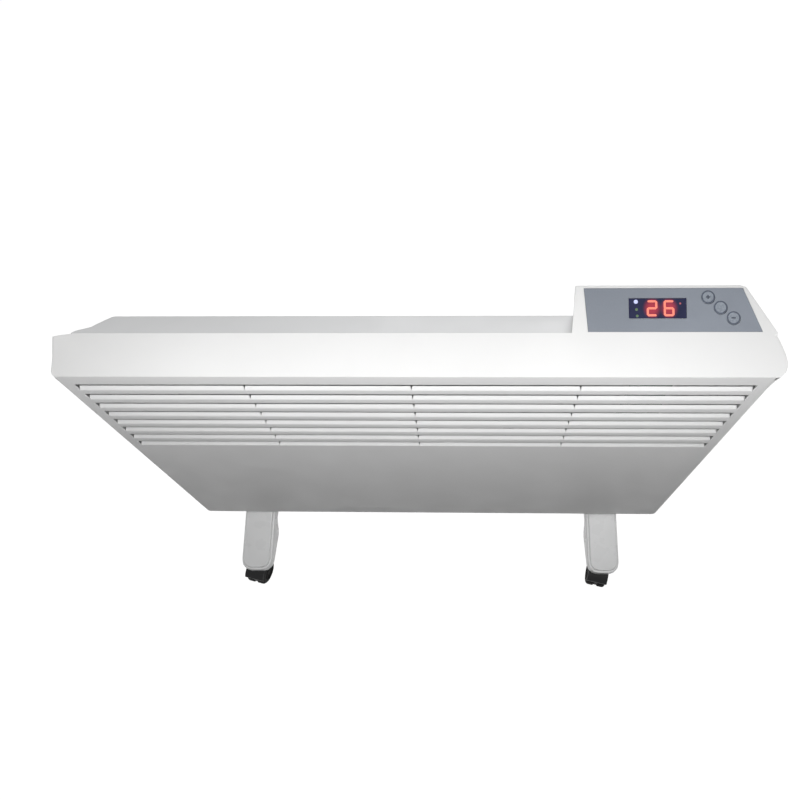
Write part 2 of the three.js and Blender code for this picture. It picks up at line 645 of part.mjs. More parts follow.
// ---- control panel ------------------------------------------------------------------------
function overlay() {
  const plate = extrude('z', overlayShape(0), -OVERLAY.thickness, 0);
  return onSlope(cutAll(plate, [windowPrism(GAP, -2, 1), ...keyHoles()]));
}

function displayWindow() {
  return onSlope(windowPrism(0, -OVERLAY.thickness, 0));
}

function displayModule() {
  return onSlope(windowPrism(-DISPLAY.moduleInset, -BOARD.depth + GAP, -DISPLAY.moduleTop));
}

function controlKey(key) {
  const rimTop = -TRIM_WALL - GAP;
  const rimBottom = rimTop - KEY.rim;
  const rim = KEY.radius + KEY.rim;
  const lathe = turned([
    [0, KEY.foot], [KEY.stalk, KEY.foot], [KEY.stalk, rimBottom], [rim, rimBottom], [rim, rimTop],
    [KEY.radius, rimTop], [KEY.radius, -GAP], [KEY.radius - GAP, KEY.crown], [0, KEY.crown],
  ], 16);
  lathe.rotateX(Math.PI / 2);
  lathe.translate(key.x, key.v, 0);
  return onSlope(toSolid(lathe));
}

function controlBoard() {
  const top = -BOARD.depth;
  const board = box(-BOARD.left, -BOARD.right, BOARD.front, BOARD_BACK, top - BOARD.thickness, top);
  const reach = KEY.foot - KEY.travel - GAP / 2;
  const half = SWITCH_HALF;
  const switches = keys().map((key) => (
    box(key.x - half, key.x + half, key.v - half, key.v + half, top - BOARD.thickness / 2, reach)
  ));
  return onSlope(unite([board, ...switches]));
}

// ---- heating element and its supports -----------------------------------------------------
function heatingElement() {
  const half = ELEMENT.thickness / 2;
  const fins = [-1, 1].flatMap((side) => [0, 180].map((turn) => (
    box(ELEMENT_LEFT, ELEMENT_RIGHT, -half, half, 0, ELEMENT_FIN.length)
      .rotate([turn + side * ELEMENT_FIN.lean, 0, 0])
      .translate([0, ELEMENT_Y, ELEMENT_Z])
  )));
  const side = ELEMENT_FIN.side;
  const flat = box(
    ELEMENT_LEFT, ELEMENT_RIGHT, ELEMENT_Y - side, ELEMENT_Y + side, ELEMENT_Z - half, ELEMENT_Z + half,
  );
  const core = rod('x', ELEMENT.core, ELEMENT_LEFT, ELEMENT_RIGHT, ELEMENT_Y, ELEMENT_Z);
  const { radius, reach } = ELEMENT_PIN;
  const pins = rod('x', radius, ELEMENT_LEFT - reach, ELEMENT_RIGHT + reach, ELEMENT_Y, ELEMENT_Z, 12);
  return unite([core, ...fins, flat, pins]);
}

function elementEnds() {
  return [{ name: 'left', x: ELEMENT_LEFT, out: -1 }, { name: 'right', x: ELEMENT_RIGHT, out: 1 }];
}

// The x range between two distances outwards from an end of the element.
function outwards(end, near, far) {
  return [end.x + end.out * near, end.x + end.out * far].sort((a, b) => a - b);
}

function elementInsulator(end) {
  const [x0, x1] = outwards(end, GAP, INSULATOR.length);
  const [c0, c1] = outwards(end, INSULATOR.collarFrom, INSULATOR.collarTo);
  const body = rod('x', INSULATOR.radius, x0, x1, ELEMENT_Y, ELEMENT_Z, 14);
  const collar = rod('x', INSULATOR.collar, c0, c1, ELEMENT_Y, ELEMENT_Z, 14);
  const bore = rod('x', ELEMENT_PIN.radius + GAP, x0 - 1, x1 + 1, ELEMENT_Y, ELEMENT_Z, 12);
  return unite([body, collar]).subtract(bore);
}

function elementBracket(end) {
  const near = INSULATOR.collarTo + GAP;
  const [p0, p1] = outwards(end, near, near + BRACKET.sheet);
  const [f0, f1] = outwards(end, near, near + BRACKET.footLength);
  const [low, high] = [ELEMENT_Z - BRACKET.halfHeight, ELEMENT_Z + BRACKET.halfHeight];
  const plate = box(p0, p1, ELEMENT_Y - BRACKET.frontReach, BACK_INSIDE, low, high);
  const foot = box(f0, f1, BACK_INSIDE - BRACKET.sheet, BACK_INSIDE, low, high);
  const hole = rod('x', INSULATOR.radius + GAP, p0 - 1, p1 + 1, ELEMENT_Y, ELEMENT_Z, 16);
  return unite([plate, foot]).subtract(hole);
}

// A folded sheet behind the element, with a flange along its top and bottom.
function heatShield() {
  const { sheet } = SHIELD;
  const low = FACE_BOTTOM + SHIELD.aboveBottom;
  const high = FACE_TOP - SHIELD.belowTop;
  const shape = outline([
    [SHIELD_FRONT, low], [SHIELD_FRONT, high], [BACK_INSIDE, high], [BACK_INSIDE, high - sheet],
    [SHIELD_FRONT + sheet, high - sheet], [SHIELD_FRONT + sheet, low + sheet],
    [BACK_INSIDE, low + sheet], [BACK_INSIDE, low],
  ]);
  return extrude('x', shape, ELEMENT_LEFT + SHIELD.endInset, ELEMENT_RIGHT - SHIELD.endInset);
}

// A bimetal disc thermostat on the heat shield, over the element.
function thermalCutout() {
  const seat = SHIELD_FRONT - GAP;
  const x = ELEMENT_RIGHT - CUTOUT.fromElementEnd;
  const z = ELEMENT_Z + CUTOUT.rise;
  const face = seat - CUTOUT.discHeight;
  const capFace = face - CUTOUT.capHeight;
  const disc = rod('y', CUTOUT.disc, face, seat, z, x, 16);
  const cap = rod('y', CUTOUT.cap, capFace, face + 1, z, x, 16);
  const high = CUTOUT_EAR.halfHeight;
  const ears = box(x - CUTOUT.ear, x + CUTOUT.ear, seat - CUTOUT_EAR.thickness, seat, z - high, z + high);
  const tabs = [x - TAB.spacing, x + TAB.spacing].map((tab) => box(
    tab - TAB.half, tab + TAB.half, capFace - TAB.length, capFace + 1, z - TAB.halfWidth, z + TAB.halfWidth,
  ));
  return unite([disc, cap, ears, ...tabs]);
}

// ---- electrical parts ---------------------------------------------------------------------
function tiltSwitch() {
  const x = FOOT_X - TILT.footOffset;
  const half = TILT.size / 2;
  const y = FACE_Y + TILT.front + half;
  const top = FLOOR_INSIDE + TILT.height;
  const body = box(x - half, x + half, y - half, y + half, FLOOR_INSIDE, top);
  const earTop = FLOOR_INSIDE + TILT.earThickness;
  const ears = box(x - TILT.ear, x + TILT.ear, y - half / 2, y + half / 2, FLOOR_INSIDE, earTop);
  const tabs = [-TAB.spacing, TAB.spacing].map((dx) => (
    box(x + dx - TAB.half, x + dx + TAB.half, y - TAB.halfWidth, y + TAB.halfWidth, top - 1, top + TAB.length)
  ));
  return unite([body, ears, ...tabs]);
}

function boardCarrier() {
  const half = CARRIER.width / 2;
  const plate = box(
    SERVICE_X - half, SERVICE_X + half, BACK_INSIDE - CARRIER.thickness, BACK_INSIDE,
    CARRIER_BOTTOM, CARRIER_TOP,
  );
  const reach = half - CARRIER.inset;
  const heights = [CARRIER_BOTTOM + CARRIER.inset, CARRIER_TOP - CARRIER.inset];
  const front = BACK_INSIDE - CARRIER.postHeight;
  const posts = [SERVICE_X - reach, SERVICE_X + reach].flatMap((x) => (
    heights.map((z) => rod('y', CARRIER.postRadius, front, BACK_INSIDE - 1, z, x, 8))
  ));
  return unite([plate, ...posts]);
}

function powerBoard() {
  const back = BACK_INSIDE - CARRIER.postHeight - GAP;
  const face = back - POWER_BOARD.thickness;
  const half = CARRIER.width / 2 - POWER_BOARD.margin;
  const bottom = CARRIER_BOTTOM + POWER_BOARD.margin;
  const on = (x0, x1, z0, z1, height) => box(x0, x1, face - height, face + 1, z0, z1);
  const board = box(SERVICE_X - half, SERVICE_X + half, face, back, bottom, CARRIER_TOP - POWER_BOARD.margin);
  const relayLeft = SERVICE_X - half + POWER_BOARD.edge;
  const relays = RELAY.rises.map((rise) => bottom + rise - RELAY.size / 2).map((low) => (
    on(relayLeft, relayLeft + RELAY.size, low, low + RELAY.size, RELAY.height)
  ));
  const capacitorRight = SERVICE_X + half - POWER_BOARD.edge;
  const capacitorBottom = bottom + CAPACITOR.rise;
  const capacitor = on(
    capacitorRight - CAPACITOR.width, capacitorRight,
    capacitorBottom, capacitorBottom + CAPACITOR.length, CAPACITOR.height,
  );
  const sockets = on(
    SERVICE_X - CONNECTOR.width / 2, SERVICE_X + CONNECTOR.width / 2,
    bottom + CONNECTOR.rise, bottom + CONNECTOR.rise + CONNECTOR.length, CONNECTOR.height,
  );
  return unite([board, ...relays, capacitor, sockets]);
}

function terminalBlock() {
  const bottom = FACE_BOTTOM + TERMINALS.rise;
  const middle = bottom + TERMINALS.height / 2;
  const half = TERMINALS.width / 2;
  const face = BACK_INSIDE - TERMINALS.depth;
  const body = box(SERVICE_X - half, SERVICE_X + half, face, BACK_INSIDE, bottom, bottom + TERMINALS.height);
  const pitch = TERMINALS.wellPitch;
  const wells = [SERVICE_X - pitch, SERVICE_X, SERVICE_X + pitch].map((x) => (
    rod('y', TERMINALS.well, face - 1, face + TERMINALS.wellDepth, middle, x, 10)
  ));
  return cutAll(body, wells);
}

function roomSensor() {
  const x = FOOT_X - SENSOR.footOffset;
  const half = SENSOR.width / 2;
  const [front, back] = [SENSOR.fromJoint, SENSOR.fromJoint + SENSOR.depth];
  const top = FLOOR_INSIDE + SENSOR.clipHeight;
  const clip = box(x - half, x + half, front, back, FLOOR_INSIDE, top);
  const probe = rod('z', SENSOR.probe, top - 1, FLOOR_INSIDE + SENSOR.probeHeight, x, (front + back) / 2, 12);
  return unite([clip, probe]);
}

function cordGland() {
  const { bore, neck, collar, collarHeight, nose, taper } = GLAND;
  const seat = GAP / 2;
  const lathe = turned([
    [bore, -GLAND.tail], [neck, -GLAND.tail], [neck, seat], [collar, seat],
    [collar, collarHeight], [taper, nose], [bore, nose], [bore, -GLAND.tail],
  ], 18);
  lathe.translate(GLAND_X, BACK_Y + seat, GLAND_Z);
  return toSolid(lathe);
}

function glandNut() {
  const corners = evenly(0, Math.PI * (5 / 3), 5).map((angle) => [
    GLAND_Z + GLAND_NUT.radius * Math.cos(angle),
    GLAND_X + GLAND_NUT.radius * Math.sin(angle),
  ]);
  const nut = extrude('y', outline(corners), BACK_INSIDE - GLAND_NUT.height, BACK_INSIDE);
  return nut.subtract(rod('y', GLAND.neck + GAP, BACK_INSIDE - GLAND.tail, BACK_Y, GLAND_Z, GLAND_X, 18));
}

// ---- feet ---------------------------------------------------------------------------------
// The pad is level under the case and falls away to both tips, with a soft bend between.
function padHeight(y) {
  const start = ARCH.halfLength - PAD.levelInset;
  const end = FOOT_HALF_LENGTH - PAD.levelInset;
  const run = THREE.MathUtils.clamp((Math.abs(y) - start) / (end - start), 0, 1.05);
  const fall = run < PAD.bend ? (run * run) / (2 * PAD.bend) : run - PAD.bend / 2;
  return PAD_LEVEL - (PAD.tipDrop - GAP) * (fall / (1 - PAD.bend / 2));
}

function rimHeight(y) {
  return padHeight(y) - PAD.raise;
}

function footUnderside(y) {
  const drop = easeBetween(Math.abs(y), ARCH.halfLength, ARCH.halfLength + ARCH.run);
  return THREE.MathUtils.lerp(ARCH_UNDERSIDE, FOOT_UNDERSIDE, drop);
}

// Lengthwise stations of a foot: round at both tips, and closer together where the arch curves.
function footStations(halfLength, tipRadius) {
  const tip = quarterRound(tipRadius, 3).map((s) => ({ y: halfLength - s.depth, inset: s.inset }));
  const arch = evenly(ARCH.halfLength + ARCH.run, ARCH.halfLength - PAD.levelInset, 4);
  const half = [...tip, ...[...arch, 0].map((y) => ({ y, inset: 0 }))];
  const mirrored = half.slice(0, -1).map((s) => ({ y: -s.y, inset: s.inset }));
  return [...mirrored, ...half.reverse()];
}

function footBody(x, shrink, topOf, bottomOf, edge) {
  const corner = { bottom: 0, topLeft: edge, topRight: edge };
  return loft(footStations(FOOT_HALF_LENGTH - shrink, FOOT_TIP_RADIUS - shrink).map((s) => {
    const half = FOOT_HALF_WIDTH - shrink - s.inset;
    return ring(s.y, x - half, x + half, bottomOf(s.y), topOf(s.y), corner);
  }));
}

function foot(x) {
  const body = footBody(x, 0, rimHeight, footUnderside, FOOT_EDGE);
  const pad = footBody(x, PAD.inset, padHeight, (y) => rimHeight(y) - FOOT_EDGE, PAD.edge);
  const inside = footBody(x, FOOT_WALL, (y) => rimHeight(y) - FOOT_WALL, () => 0, 0);
  const ceiling = (y) => rimHeight(y) - FOOT_SKIN;
  const screws = footScrewPlaces().filter(([screwX]) => screwX === x);
  const additions = screws.map(([sx, sy]) => rod('z', FOOT_SCREW.boss, SCREW_SEAT, ceiling(sy), sx, sy, 10));
  const holes = footScrewHoles(screws, 0);
  const half = FOOT_HALF_WIDTH - FOOT_WALL / 2;
  for (const end of [-1, 1]) {
    const y = end * SWIVEL_Y;
    additions.push(rod('z', SWIVEL_BOSS, FOOT_UNDERSIDE, ceiling(y), x, y, 16));
    holes.push(rod('z', STEM.radius + GAP, 0, ceiling(y) - STEM.endWall, x, y, 12));
    for (const place of FOOT_RIBS.places) {
      const rib = [end * place - FOOT_RIBS.half, end * place + FOOT_RIBS.half];
      const ribBottom = footUnderside(place) + FOOT_RIBS.setBack;
      additions.push(box(x - half, x + half, ...rib, ribBottom, ceiling(place) + FOOT_SKIN / 2));
    }
  }
  return cutAll(unite([body, pad]).subtract(inside).add(unite(additions)), holes);
}

// A pan-head screw: the shank runs from the head along +z.
function screw(length) {
  const { shank, head, headHeight, crown } = SCREW;
  const lathe = turned([
    [0, -headHeight], [head * crown, -headHeight], [head, 0], [shank, 0], [shank, length], [0, length],
  ], 8);
  lathe.rotateX(Math.PI / 2);
  return toSolid(lathe);
}

function footScrew([x, y]) {
  return screw(FACE_BOTTOM + FOOT_SCREW.reach - SCREW_SEAT).translate([x, y, SCREW_SEAT - GAP]);
}

function coverScrew([x, z]) {
  return screw(COVER_SCREW.length).rotate([90, 0, 0]).translate([x, GAP + SHEET + GAP, z]);
}

// ---- castors, drawn with the stem on the z axis and trailing towards -y --------------------
function castorFork() {
  const half = WHEEL_WIDTH + WEB_WIDTH / 2 + FENDER.clearance;
  const axleY = -CASTOR_TRAIL;
  const inner = WHEEL_RADIUS + FENDER.clearance;
  const web = rod('x', WHEEL_RADIUS - WEB_SETBACK, -WEB_WIDTH / 2, WEB_WIDTH / 2, axleY, WHEEL_RADIUS, 16);
  const fender = rod('x', inner + FENDER.thickness, -half, half, axleY, WHEEL_RADIUS, 20)
    .subtract(rod('x', inner, -half - 1, half + 1, axleY, WHEEL_RADIUS, 20))
    .intersect(box(
      -half - 1, half + 1, axleY - FENDER.frontReach, axleY + FENDER.backReach,
      WHEEL_RADIUS + FENDER.rise, CASTOR_TOP,
    ));
  const boss = rod('z', STEM.boss, CASTOR_TOP - STEM.bossHeight, CASTOR_TOP, 0, 0, 16);
  const neckTop = CASTOR_TOP - STEM.bossHeight / 2;
  const neck = box(-WEB_WIDTH / 2, WEB_WIDTH / 2, axleY, STEM.radius, WHEEL_RADIUS, neckTop);
  return cutAll(unite([web, fender, neck, boss]), [
    rod('z', STEM.radius + GAP, STEM_FOOT, CASTOR_TOP + 1, 0, 0, 14),
    rod('x', AXLE.radius + GAP, -half, half, axleY, WHEEL_RADIUS, 12),
    box(-WEB_WIDTH, WEB_WIDTH, STEM.radius, CASTOR_TRAIL, 0, STEM_FOOT),
  ]);
}

function castorStem() {
  const top = rimHeight(SWIVEL_Y) - FOOT_SKIN - STEM.endWall - GAP;
  return rod('z', STEM.radius, STEM_FOOT + GAP, top, 0, 0, 14);
}

function castorAxle() {
  const half = WEB_WIDTH / 2 + WHEEL_WIDTH - AXLE.endWall;
  return rod('x', AXLE.radius, -half, half, -CASTOR_TRAIL, WHEEL_RADIUS, 12);
}

// One wheel of the pair: a blind bore from the web's side, a rounded tread and a dished outer face.
// It has a flat of its tread at the floor, so its corners lie a little outside the wheel's radius.
function castorWheel(side) {
  const w = WHEEL_WIDTH;
  const tread = WHEEL_RADIUS / Math.cos(Math.PI / WHEEL_SIDES);
  const boreEnd = w - AXLE.endWall + GAP;
  const bore = AXLE.radius + GAP;
  const round = evenly(0, Math.PI / 2, 2).map((angle) => [
    tread - WHEEL_SHOULDER * (1 - Math.cos(angle)),
    w - WHEEL_SHOULDER * (1 - Math.sin(angle)),
  ]);
  const lathe = turned([
    [0, boreEnd], [bore, boreEnd], [bore, 0], [tread, 0], ...round,
    [tread - WHEEL_RIM, w], [tread - WHEEL_RIM - WHEEL_DISH, w - WHEEL_DISH], [0, w - WHEEL_DISH / 2],
  ], WHEEL_SIDES, Math.PI / WHEEL_SIDES);
  lathe.rotateZ((-side * Math.PI) / 2);
  lathe.translate(side * (WEB_WIDTH / 2 + GAP), -CASTOR_TRAIL, WHEEL_RADIUS);
  return toSolid(lathe);
}

// The front pair trails forwards and the rear pair backwards, both a little to the left.
function castorPlaces() {
  return [
    { name: 'front_left', x: -FOOT_X, y: -SWIVEL_Y, turn: -CASTOR_HEADING },
    { name: 'front_right', x: FOOT_X, y: -SWIVEL_Y, turn: -CASTOR_HEADING },
    { name: 'rear_left', x: -FOOT_X, y: SWIVEL_Y, turn: Math.PI + CASTOR_HEADING },
    { name: 'rear_right', x: FOOT_X, y: SWIVEL_Y, turn: Math.PI + CASTOR_HEADING },
  ];
}

function placeCastor(castor) {
  const group = new THREE.Group();
  group.position.set(castor.x, castor.y, 0);
  group.rotation.z = castor.turn;
  root.add(group);
  place(`castor_fork_${castor.name}`, castorFork(), BLACK_PLASTIC, group);
  place(`castor_stem_${castor.name}`, castorStem(), BARE_STEEL, group);
  place(`castor_axle_${castor.name}`, castorAxle(), BARE_STEEL, group);
  place(`wheel_a_${castor.name}`, castorWheel(-1), BLACK_PLASTIC, group);
  place(`wheel_b_${castor.name}`, castorWheel(1), BLACK_PLASTIC, group);
}

// ---- assembly -----------------------------------------------------------------------------
place('front_cover', frontCover(), PAINTED_STEEL);
place('rear_shell', rearShell(), PAINTED_BACK);
place('top_trim', topTrim(), WHITE_PLASTIC);
place('control_overlay', overlay(), OVERLAY_FILM);
place('display_window', displayWindow(), DARK_LENS);
place('display_module', displayModule(), BLACK_PLASTIC);
place('control_board', controlBoard(), BOARD_GREEN);
for (const key of keys()) place(key.name, controlKey(key), OVERLAY_FILM);
place('heating_element', heatingElement(), ALUMINIUM);
for (const end of elementEnds()) {
  place(`element_insulator_${end.name}`, elementInsulator(end), CERAMIC);
  place(`element_bracket_${end.name}`, elementBracket(end), BARE_STEEL);
}
place('heat_shield', heatShield(), BARE_STEEL);
place('thermal_cutout', thermalCutout(), BLACK_PLASTIC);
place('tilt_switch', tiltSwitch(), BLACK_PLASTIC);
place('board_carrier', boardCarrier(), WHITE_PLASTIC);
place('power_board', powerBoard(), BOARD_GREEN);
place('terminal_block', terminalBlock(), WHITE_PLASTIC);
place('room_sensor', roomSensor(), WHITE_PLASTIC);
place('cord_gland', cordGland(), BLACK_PLASTIC);
place('gland_nut', glandNut(), BLACK_PLASTIC);
place('foot_left', foot(-FOOT_X), FOOT_PLASTIC);
place('foot_right', foot(FOOT_X), FOOT_PLASTIC);
for (const castor of castorPlaces()) placeCastor(castor);
footScrewPlaces().forEach((spot, i) => place(`foot_screw_${i + 1}`, footScrew(spot), BARE_STEEL));
coverScrewPlaces().forEach((spot, i) => place(`cover_screw_${i + 1}`, coverScrew(spot), BARE_STEEL));

export default root;
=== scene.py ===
# Looks for a panel convector heater on castor feet. Metres, +Z up, front towards -Y.
import json
import math

import bmesh
import bpy
from mathutils import Matrix, Vector


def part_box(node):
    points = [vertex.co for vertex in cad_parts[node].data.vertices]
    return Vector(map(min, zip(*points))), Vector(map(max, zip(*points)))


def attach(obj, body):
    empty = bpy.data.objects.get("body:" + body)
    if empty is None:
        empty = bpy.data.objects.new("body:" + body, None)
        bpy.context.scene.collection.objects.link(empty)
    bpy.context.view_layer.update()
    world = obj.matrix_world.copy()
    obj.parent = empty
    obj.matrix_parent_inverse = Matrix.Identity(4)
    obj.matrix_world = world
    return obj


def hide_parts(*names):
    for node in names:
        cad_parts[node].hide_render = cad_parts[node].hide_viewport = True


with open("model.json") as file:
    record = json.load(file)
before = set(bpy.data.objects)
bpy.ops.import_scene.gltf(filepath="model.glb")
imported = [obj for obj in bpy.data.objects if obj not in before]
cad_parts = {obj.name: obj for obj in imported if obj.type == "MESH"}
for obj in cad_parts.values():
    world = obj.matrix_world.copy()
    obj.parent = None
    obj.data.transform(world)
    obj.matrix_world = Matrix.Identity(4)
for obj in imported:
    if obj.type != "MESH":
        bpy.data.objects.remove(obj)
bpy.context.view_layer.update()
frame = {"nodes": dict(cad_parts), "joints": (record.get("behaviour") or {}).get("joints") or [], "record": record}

MM = 0.001

# ---- camera ---------------------------------------------------------------------------------
IMAGE_PX = 800
SENSOR_MM = 36.0
FOCAL_PX = 568.734
PRINCIPAL_X_PX = 447.767
NEAREST = 0.05
EYE = Vector((0.048386, -0.347648, 0.994122))
PITCH, HEADING, ROLL = 1.0465482, -0.0494440, -0.0406133


def make_camera():
    """A camera at the viewing angle of the photograph, from its eye point and three angles in radians."""
    reach = math.cos(PITCH)
    forward = Vector((math.sin(HEADING) * reach, math.cos(HEADING) * reach, -math.sin(PITCH)))
    level = Vector((math.cos(HEADING), -math.sin(HEADING), 0))
    upright = level.cross(forward)
    right = math.cos(ROLL) * level + math.sin(ROLL) * upright
    up = math.cos(ROLL) * upright - math.sin(ROLL) * level
    data = bpy.data.cameras.new("camera")
    data.sensor_width = SENSOR_MM
    data.lens = FOCAL_PX / IMAGE_PX * SENSOR_MM
    data.shift_x = (IMAGE_PX / 2 - PRINCIPAL_X_PX) / IMAGE_PX
    data.clip_start = NEAREST
    camera = bpy.data.objects.new("camera", data)
    bpy.context.scene.collection.objects.link(camera)
    axes = Matrix((right, up, -forward)).transposed().to_4x4()
    camera.matrix_world = Matrix.Translation(EYE) @ axes
    bpy.context.scene.camera = camera


make_camera()

# ---- shaders --------------------------------------------------------------------------------
FLAT_COSINE, EDGE_COSINE = 0.99, 0.8
OPEN_LIGHT, CORNER_LIGHT = 0.75, 0.2


class Shader:
    """A principled material with the few nodes that every finish here is made of."""

    def __init__(self, name, metallic=0.0, ior=1.45, coat=0.0, coat_roughness=0.1):
        self.material = bpy.data.materials.new(name)
        self.material.use_nodes = True
        self.tree = self.material.node_tree
        self.bsdf = self.tree.nodes["Principled BSDF"]
        self.bsdf.inputs["Metallic"].default_value = metallic
        self.bsdf.inputs["IOR"].default_value = ior
        self.bsdf.inputs["Coat Weight"].default_value = coat
        self.bsdf.inputs["Coat Roughness"].default_value = coat_roughness
        self.place = self.add("ShaderNodeTexCoord").outputs["Object"]
        self.normal = None

    def add(self, kind, **settings):
        node = self.tree.nodes.new(kind)
        for key, value in settings.items():
            setattr(node, key, value)
        return node

    def feed(self, socket, value):
        """Links an output to the socket, or sets a number, a vector or an opaque colour on it."""
        if hasattr(value, "links"):
            self.tree.links.new(value, socket)
        elif socket.type == "RGBA":
            socket.default_value = (*value, 1)
        else:
            socket.default_value = value

    def mapped(self, scale, location=(0, 0, 0), rotation=(0, 0, 0), kind="POINT"):
        node = self.add("ShaderNodeMapping", vector_type=kind)
        self.feed(node.inputs["Vector"], self.place)
        node.inputs["Location"].default_value = location
        node.inputs["Rotation"].default_value = rotation
        node.inputs["Scale"].default_value = scale
        return node.outputs["Vector"]

    def noise(self, scale, detail=2.0, stretch=(1, 1, 1)):
        """Noise with this many cells to the metre."""
        node = self.add("ShaderNodeTexNoise")
        self.feed(node.inputs["Vector"], self.mapped(stretch))
        node.inputs["Scale"].default_value = scale
        node.inputs["Detail"].default_value = detail
        return node.outputs["Fac"]

    def remap(self, value, low, high, to_low=0.0, to_high=1.0):
        """Takes a value between low and high to one between to_low and to_high, with eased ends."""
        node = self.add("ShaderNodeMapRange", interpolation_type="SMOOTHSTEP")
        self.feed(node.inputs["Value"], value)
        for key, number in (("From Min", low), ("From Max", high), ("To Min", to_low), ("To Max", to_high)):
            node.inputs[key].default_value = number
        return node.outputs["Result"]

    def combine(self, operation, a, b):
        node = self.add("ShaderNodeMath", operation=operation)
        self.feed(node.inputs[0], a)
        self.feed(node.inputs[1], b)
        return node.outputs[0]

    def mix(self, factor, a, b):
        """Mixes two colours, whose sockets are found by place because other sockets share their names."""
        node = self.add("ShaderNodeMix", data_type="RGBA")
        self.feed(node.inputs["Factor"], factor)
        self.feed(node.inputs[6], a)
        self.feed(node.inputs[7], b)
        return node.outputs[2]

    def bump(self, height, distance):
        """Adds a relief of this depth on top of those already there."""
        node = self.add("ShaderNodeBump")
        self.feed(node.inputs["Height"], height)
        node.inputs["Distance"].default_value = distance
        if self.normal is not None:
            self.feed(node.inputs["Normal"], self.normal)
        self.normal = node.outputs["Normal"]

    def edges(self, radius):
        """Near 1 along edges of the shape, 0 on its flats."""
        rounded = self.add("ShaderNodeBevel", samples=3)
        rounded.inputs["Radius"].default_value = radius
        flat = self.add("ShaderNodeNewGeometry")
        dot = self.add("ShaderNodeVectorMath", operation="DOT_PRODUCT")
        self.feed(dot.inputs[0], rounded.outputs["Normal"])
        self.feed(dot.inputs[1], flat.outputs["Normal"])
        return self.remap(dot.outputs["Value"], FLAT_COSINE, EDGE_COSINE)

    def crevices(self, distance):
        """Near 1 in corners that little light reaches, 0 on open faces."""
        node = self.add("ShaderNodeAmbientOcclusion", samples=4)
        node.inputs["Distance"].default_value = distance
        return self.remap(node.outputs["AO"], OPEN_LIGHT, CORNER_LIGHT)

    def finish(self, colour, roughness, emission=None, strength=0.0):
        self.feed(self.bsdf.inputs["Base Color"], colour)
        self.feed(self.bsdf.inputs["Roughness"], roughness)
        if self.normal is not None:
            self.feed(self.bsdf.inputs["Normal"], self.normal)
        if emission is not None:
            self.feed(self.bsdf.inputs["Emission Color"], emission)
            self.bsdf.inputs["Emission Strength"].default_value = strength
        return self.material


def scaled(colour, factor):
    return tuple(channel * factor for channel in colour)


CORNER_REACH = 6 * MM
RUBBED_RADIUS = 0.9 * MM
SPECK = {"scale": 2600, "weight": 0.25, "tone": 0.93}
# How dark the painted shade in corners and crevices makes the colour.
CORNER_SHADE_TONE = 0.45
RUBBED_TONE, RUBBED_ROUGHNESS = 0.72, 0.2


def coating(name, colour, roughness, peel, grain, patch=0.02, wear=0.0, corner_shade=0.06, coat=0.0, ior=1.45,
            gloss=0.5):
    """Paint or moulded plastic: patches of tone, fine grain, handled edges and painted shade in the corners.

    peel and grain are two reliefs, each given as its size and its depth in mm.
    """
    s = Shader(name, ior=ior, coat=coat)
    s.bsdf.inputs["Specular IOR Level"].default_value = gloss
    tone = s.mix(s.remap(s.noise(9, 3), 0.3, 0.7), scaled(colour, 1 - patch), scaled(colour, 1 + patch / 2))
    speck = s.remap(s.noise(SPECK["scale"], 1), 0.62, 0.8)
    tone = s.mix(s.combine("MULTIPLY", speck, SPECK["weight"]), tone, scaled(colour, SPECK["tone"]))
    # Painted shade: the colour is darkened in corners and crevices that little light reaches.
    shade = s.crevices(CORNER_REACH)
    tone = s.mix(s.combine("MULTIPLY", shade, corner_shade), tone, scaled(colour, CORNER_SHADE_TONE))
    rough = s.remap(s.noise(38, 4), 0.25, 0.75, roughness * 0.86, roughness * 1.16)
    if wear:
        rubbed = s.combine("MULTIPLY", s.edges(RUBBED_RADIUS), s.remap(s.noise(90, 4), 0.42, 0.68))
        rubbed = s.combine("MULTIPLY", rubbed, wear)
        tone = s.mix(rubbed, tone, scaled(colour, RUBBED_TONE))
        rough = s.combine("ADD", rough, s.combine("MULTIPLY", rubbed, RUBBED_ROUGHNESS))
    for (size, depth), detail in ((peel, 2), (grain, 1)):
        s.bump(s.noise(1 / (size * MM), detail), depth * MM)
    return s.finish(tone, rough)


def metal(name, colour, roughness, stretch, spots=0.1):
    """Bare metal: a drawn or rolled grain and dull spots."""
    s = Shader(name, metallic=1.0)
    grain = s.noise(700, 3, stretch)
    tone = s.mix(s.remap(grain, 0.3, 0.7), scaled(colour, 0.86), colour)
    dull = s.combine("MULTIPLY", s.remap(s.noise(60, 4), 0.55, 0.75), spots)
    tone = s.mix(dull, tone, scaled(colour, 0.55))
    rough = s.remap(grain, 0.3, 0.7, roughness * 0.8, roughness * 1.25)
    s.bump(grain, 0.012 * MM)
    return s.finish(tone, rough)


FILM_COLOUR = (0.225, 0.248, 0.288)
# Where the painted light on the film starts and ends, along x in metres.
FILM_LIGHT_ENDS = (0.17, 0.30)


def film():
    """Grey-blue printed film with a faint sparkle and a painted fall of light along it, darker at the left."""
    s = Shader("overlay_film", coat=0.25, coat_roughness=0.12)
    along_x = s.add("ShaderNodeSeparateXYZ")
    s.feed(along_x.inputs[0], s.place)
    # Painted light: the film's colour grows lighter from left to right across it.
    fade = s.remap(along_x.outputs["X"], *FILM_LIGHT_ENDS)
    tone = s.mix(fade, scaled(FILM_COLOUR, 0.93), scaled(FILM_COLOUR, 1.08))
    flake = s.combine("MULTIPLY", s.remap(s.noise(3200, 0), 0.6, 0.78), 0.3)
    tone = s.mix(flake, tone, scaled(FILM_COLOUR, 1.5))
    smudge = s.combine("MULTIPLY", s.remap(s.noise(45, 3), 0.5, 0.72), 0.25)
    tone = s.mix(smudge, tone, scaled(FILM_COLOUR, 0.9))
    s.bump(s.noise(1500, 2), 0.01 * MM)
    return s.finish(tone, s.remap(s.noise(60, 3), 0.3, 0.7, 0.3, 0.42))


BOARD_TRACKS = 260


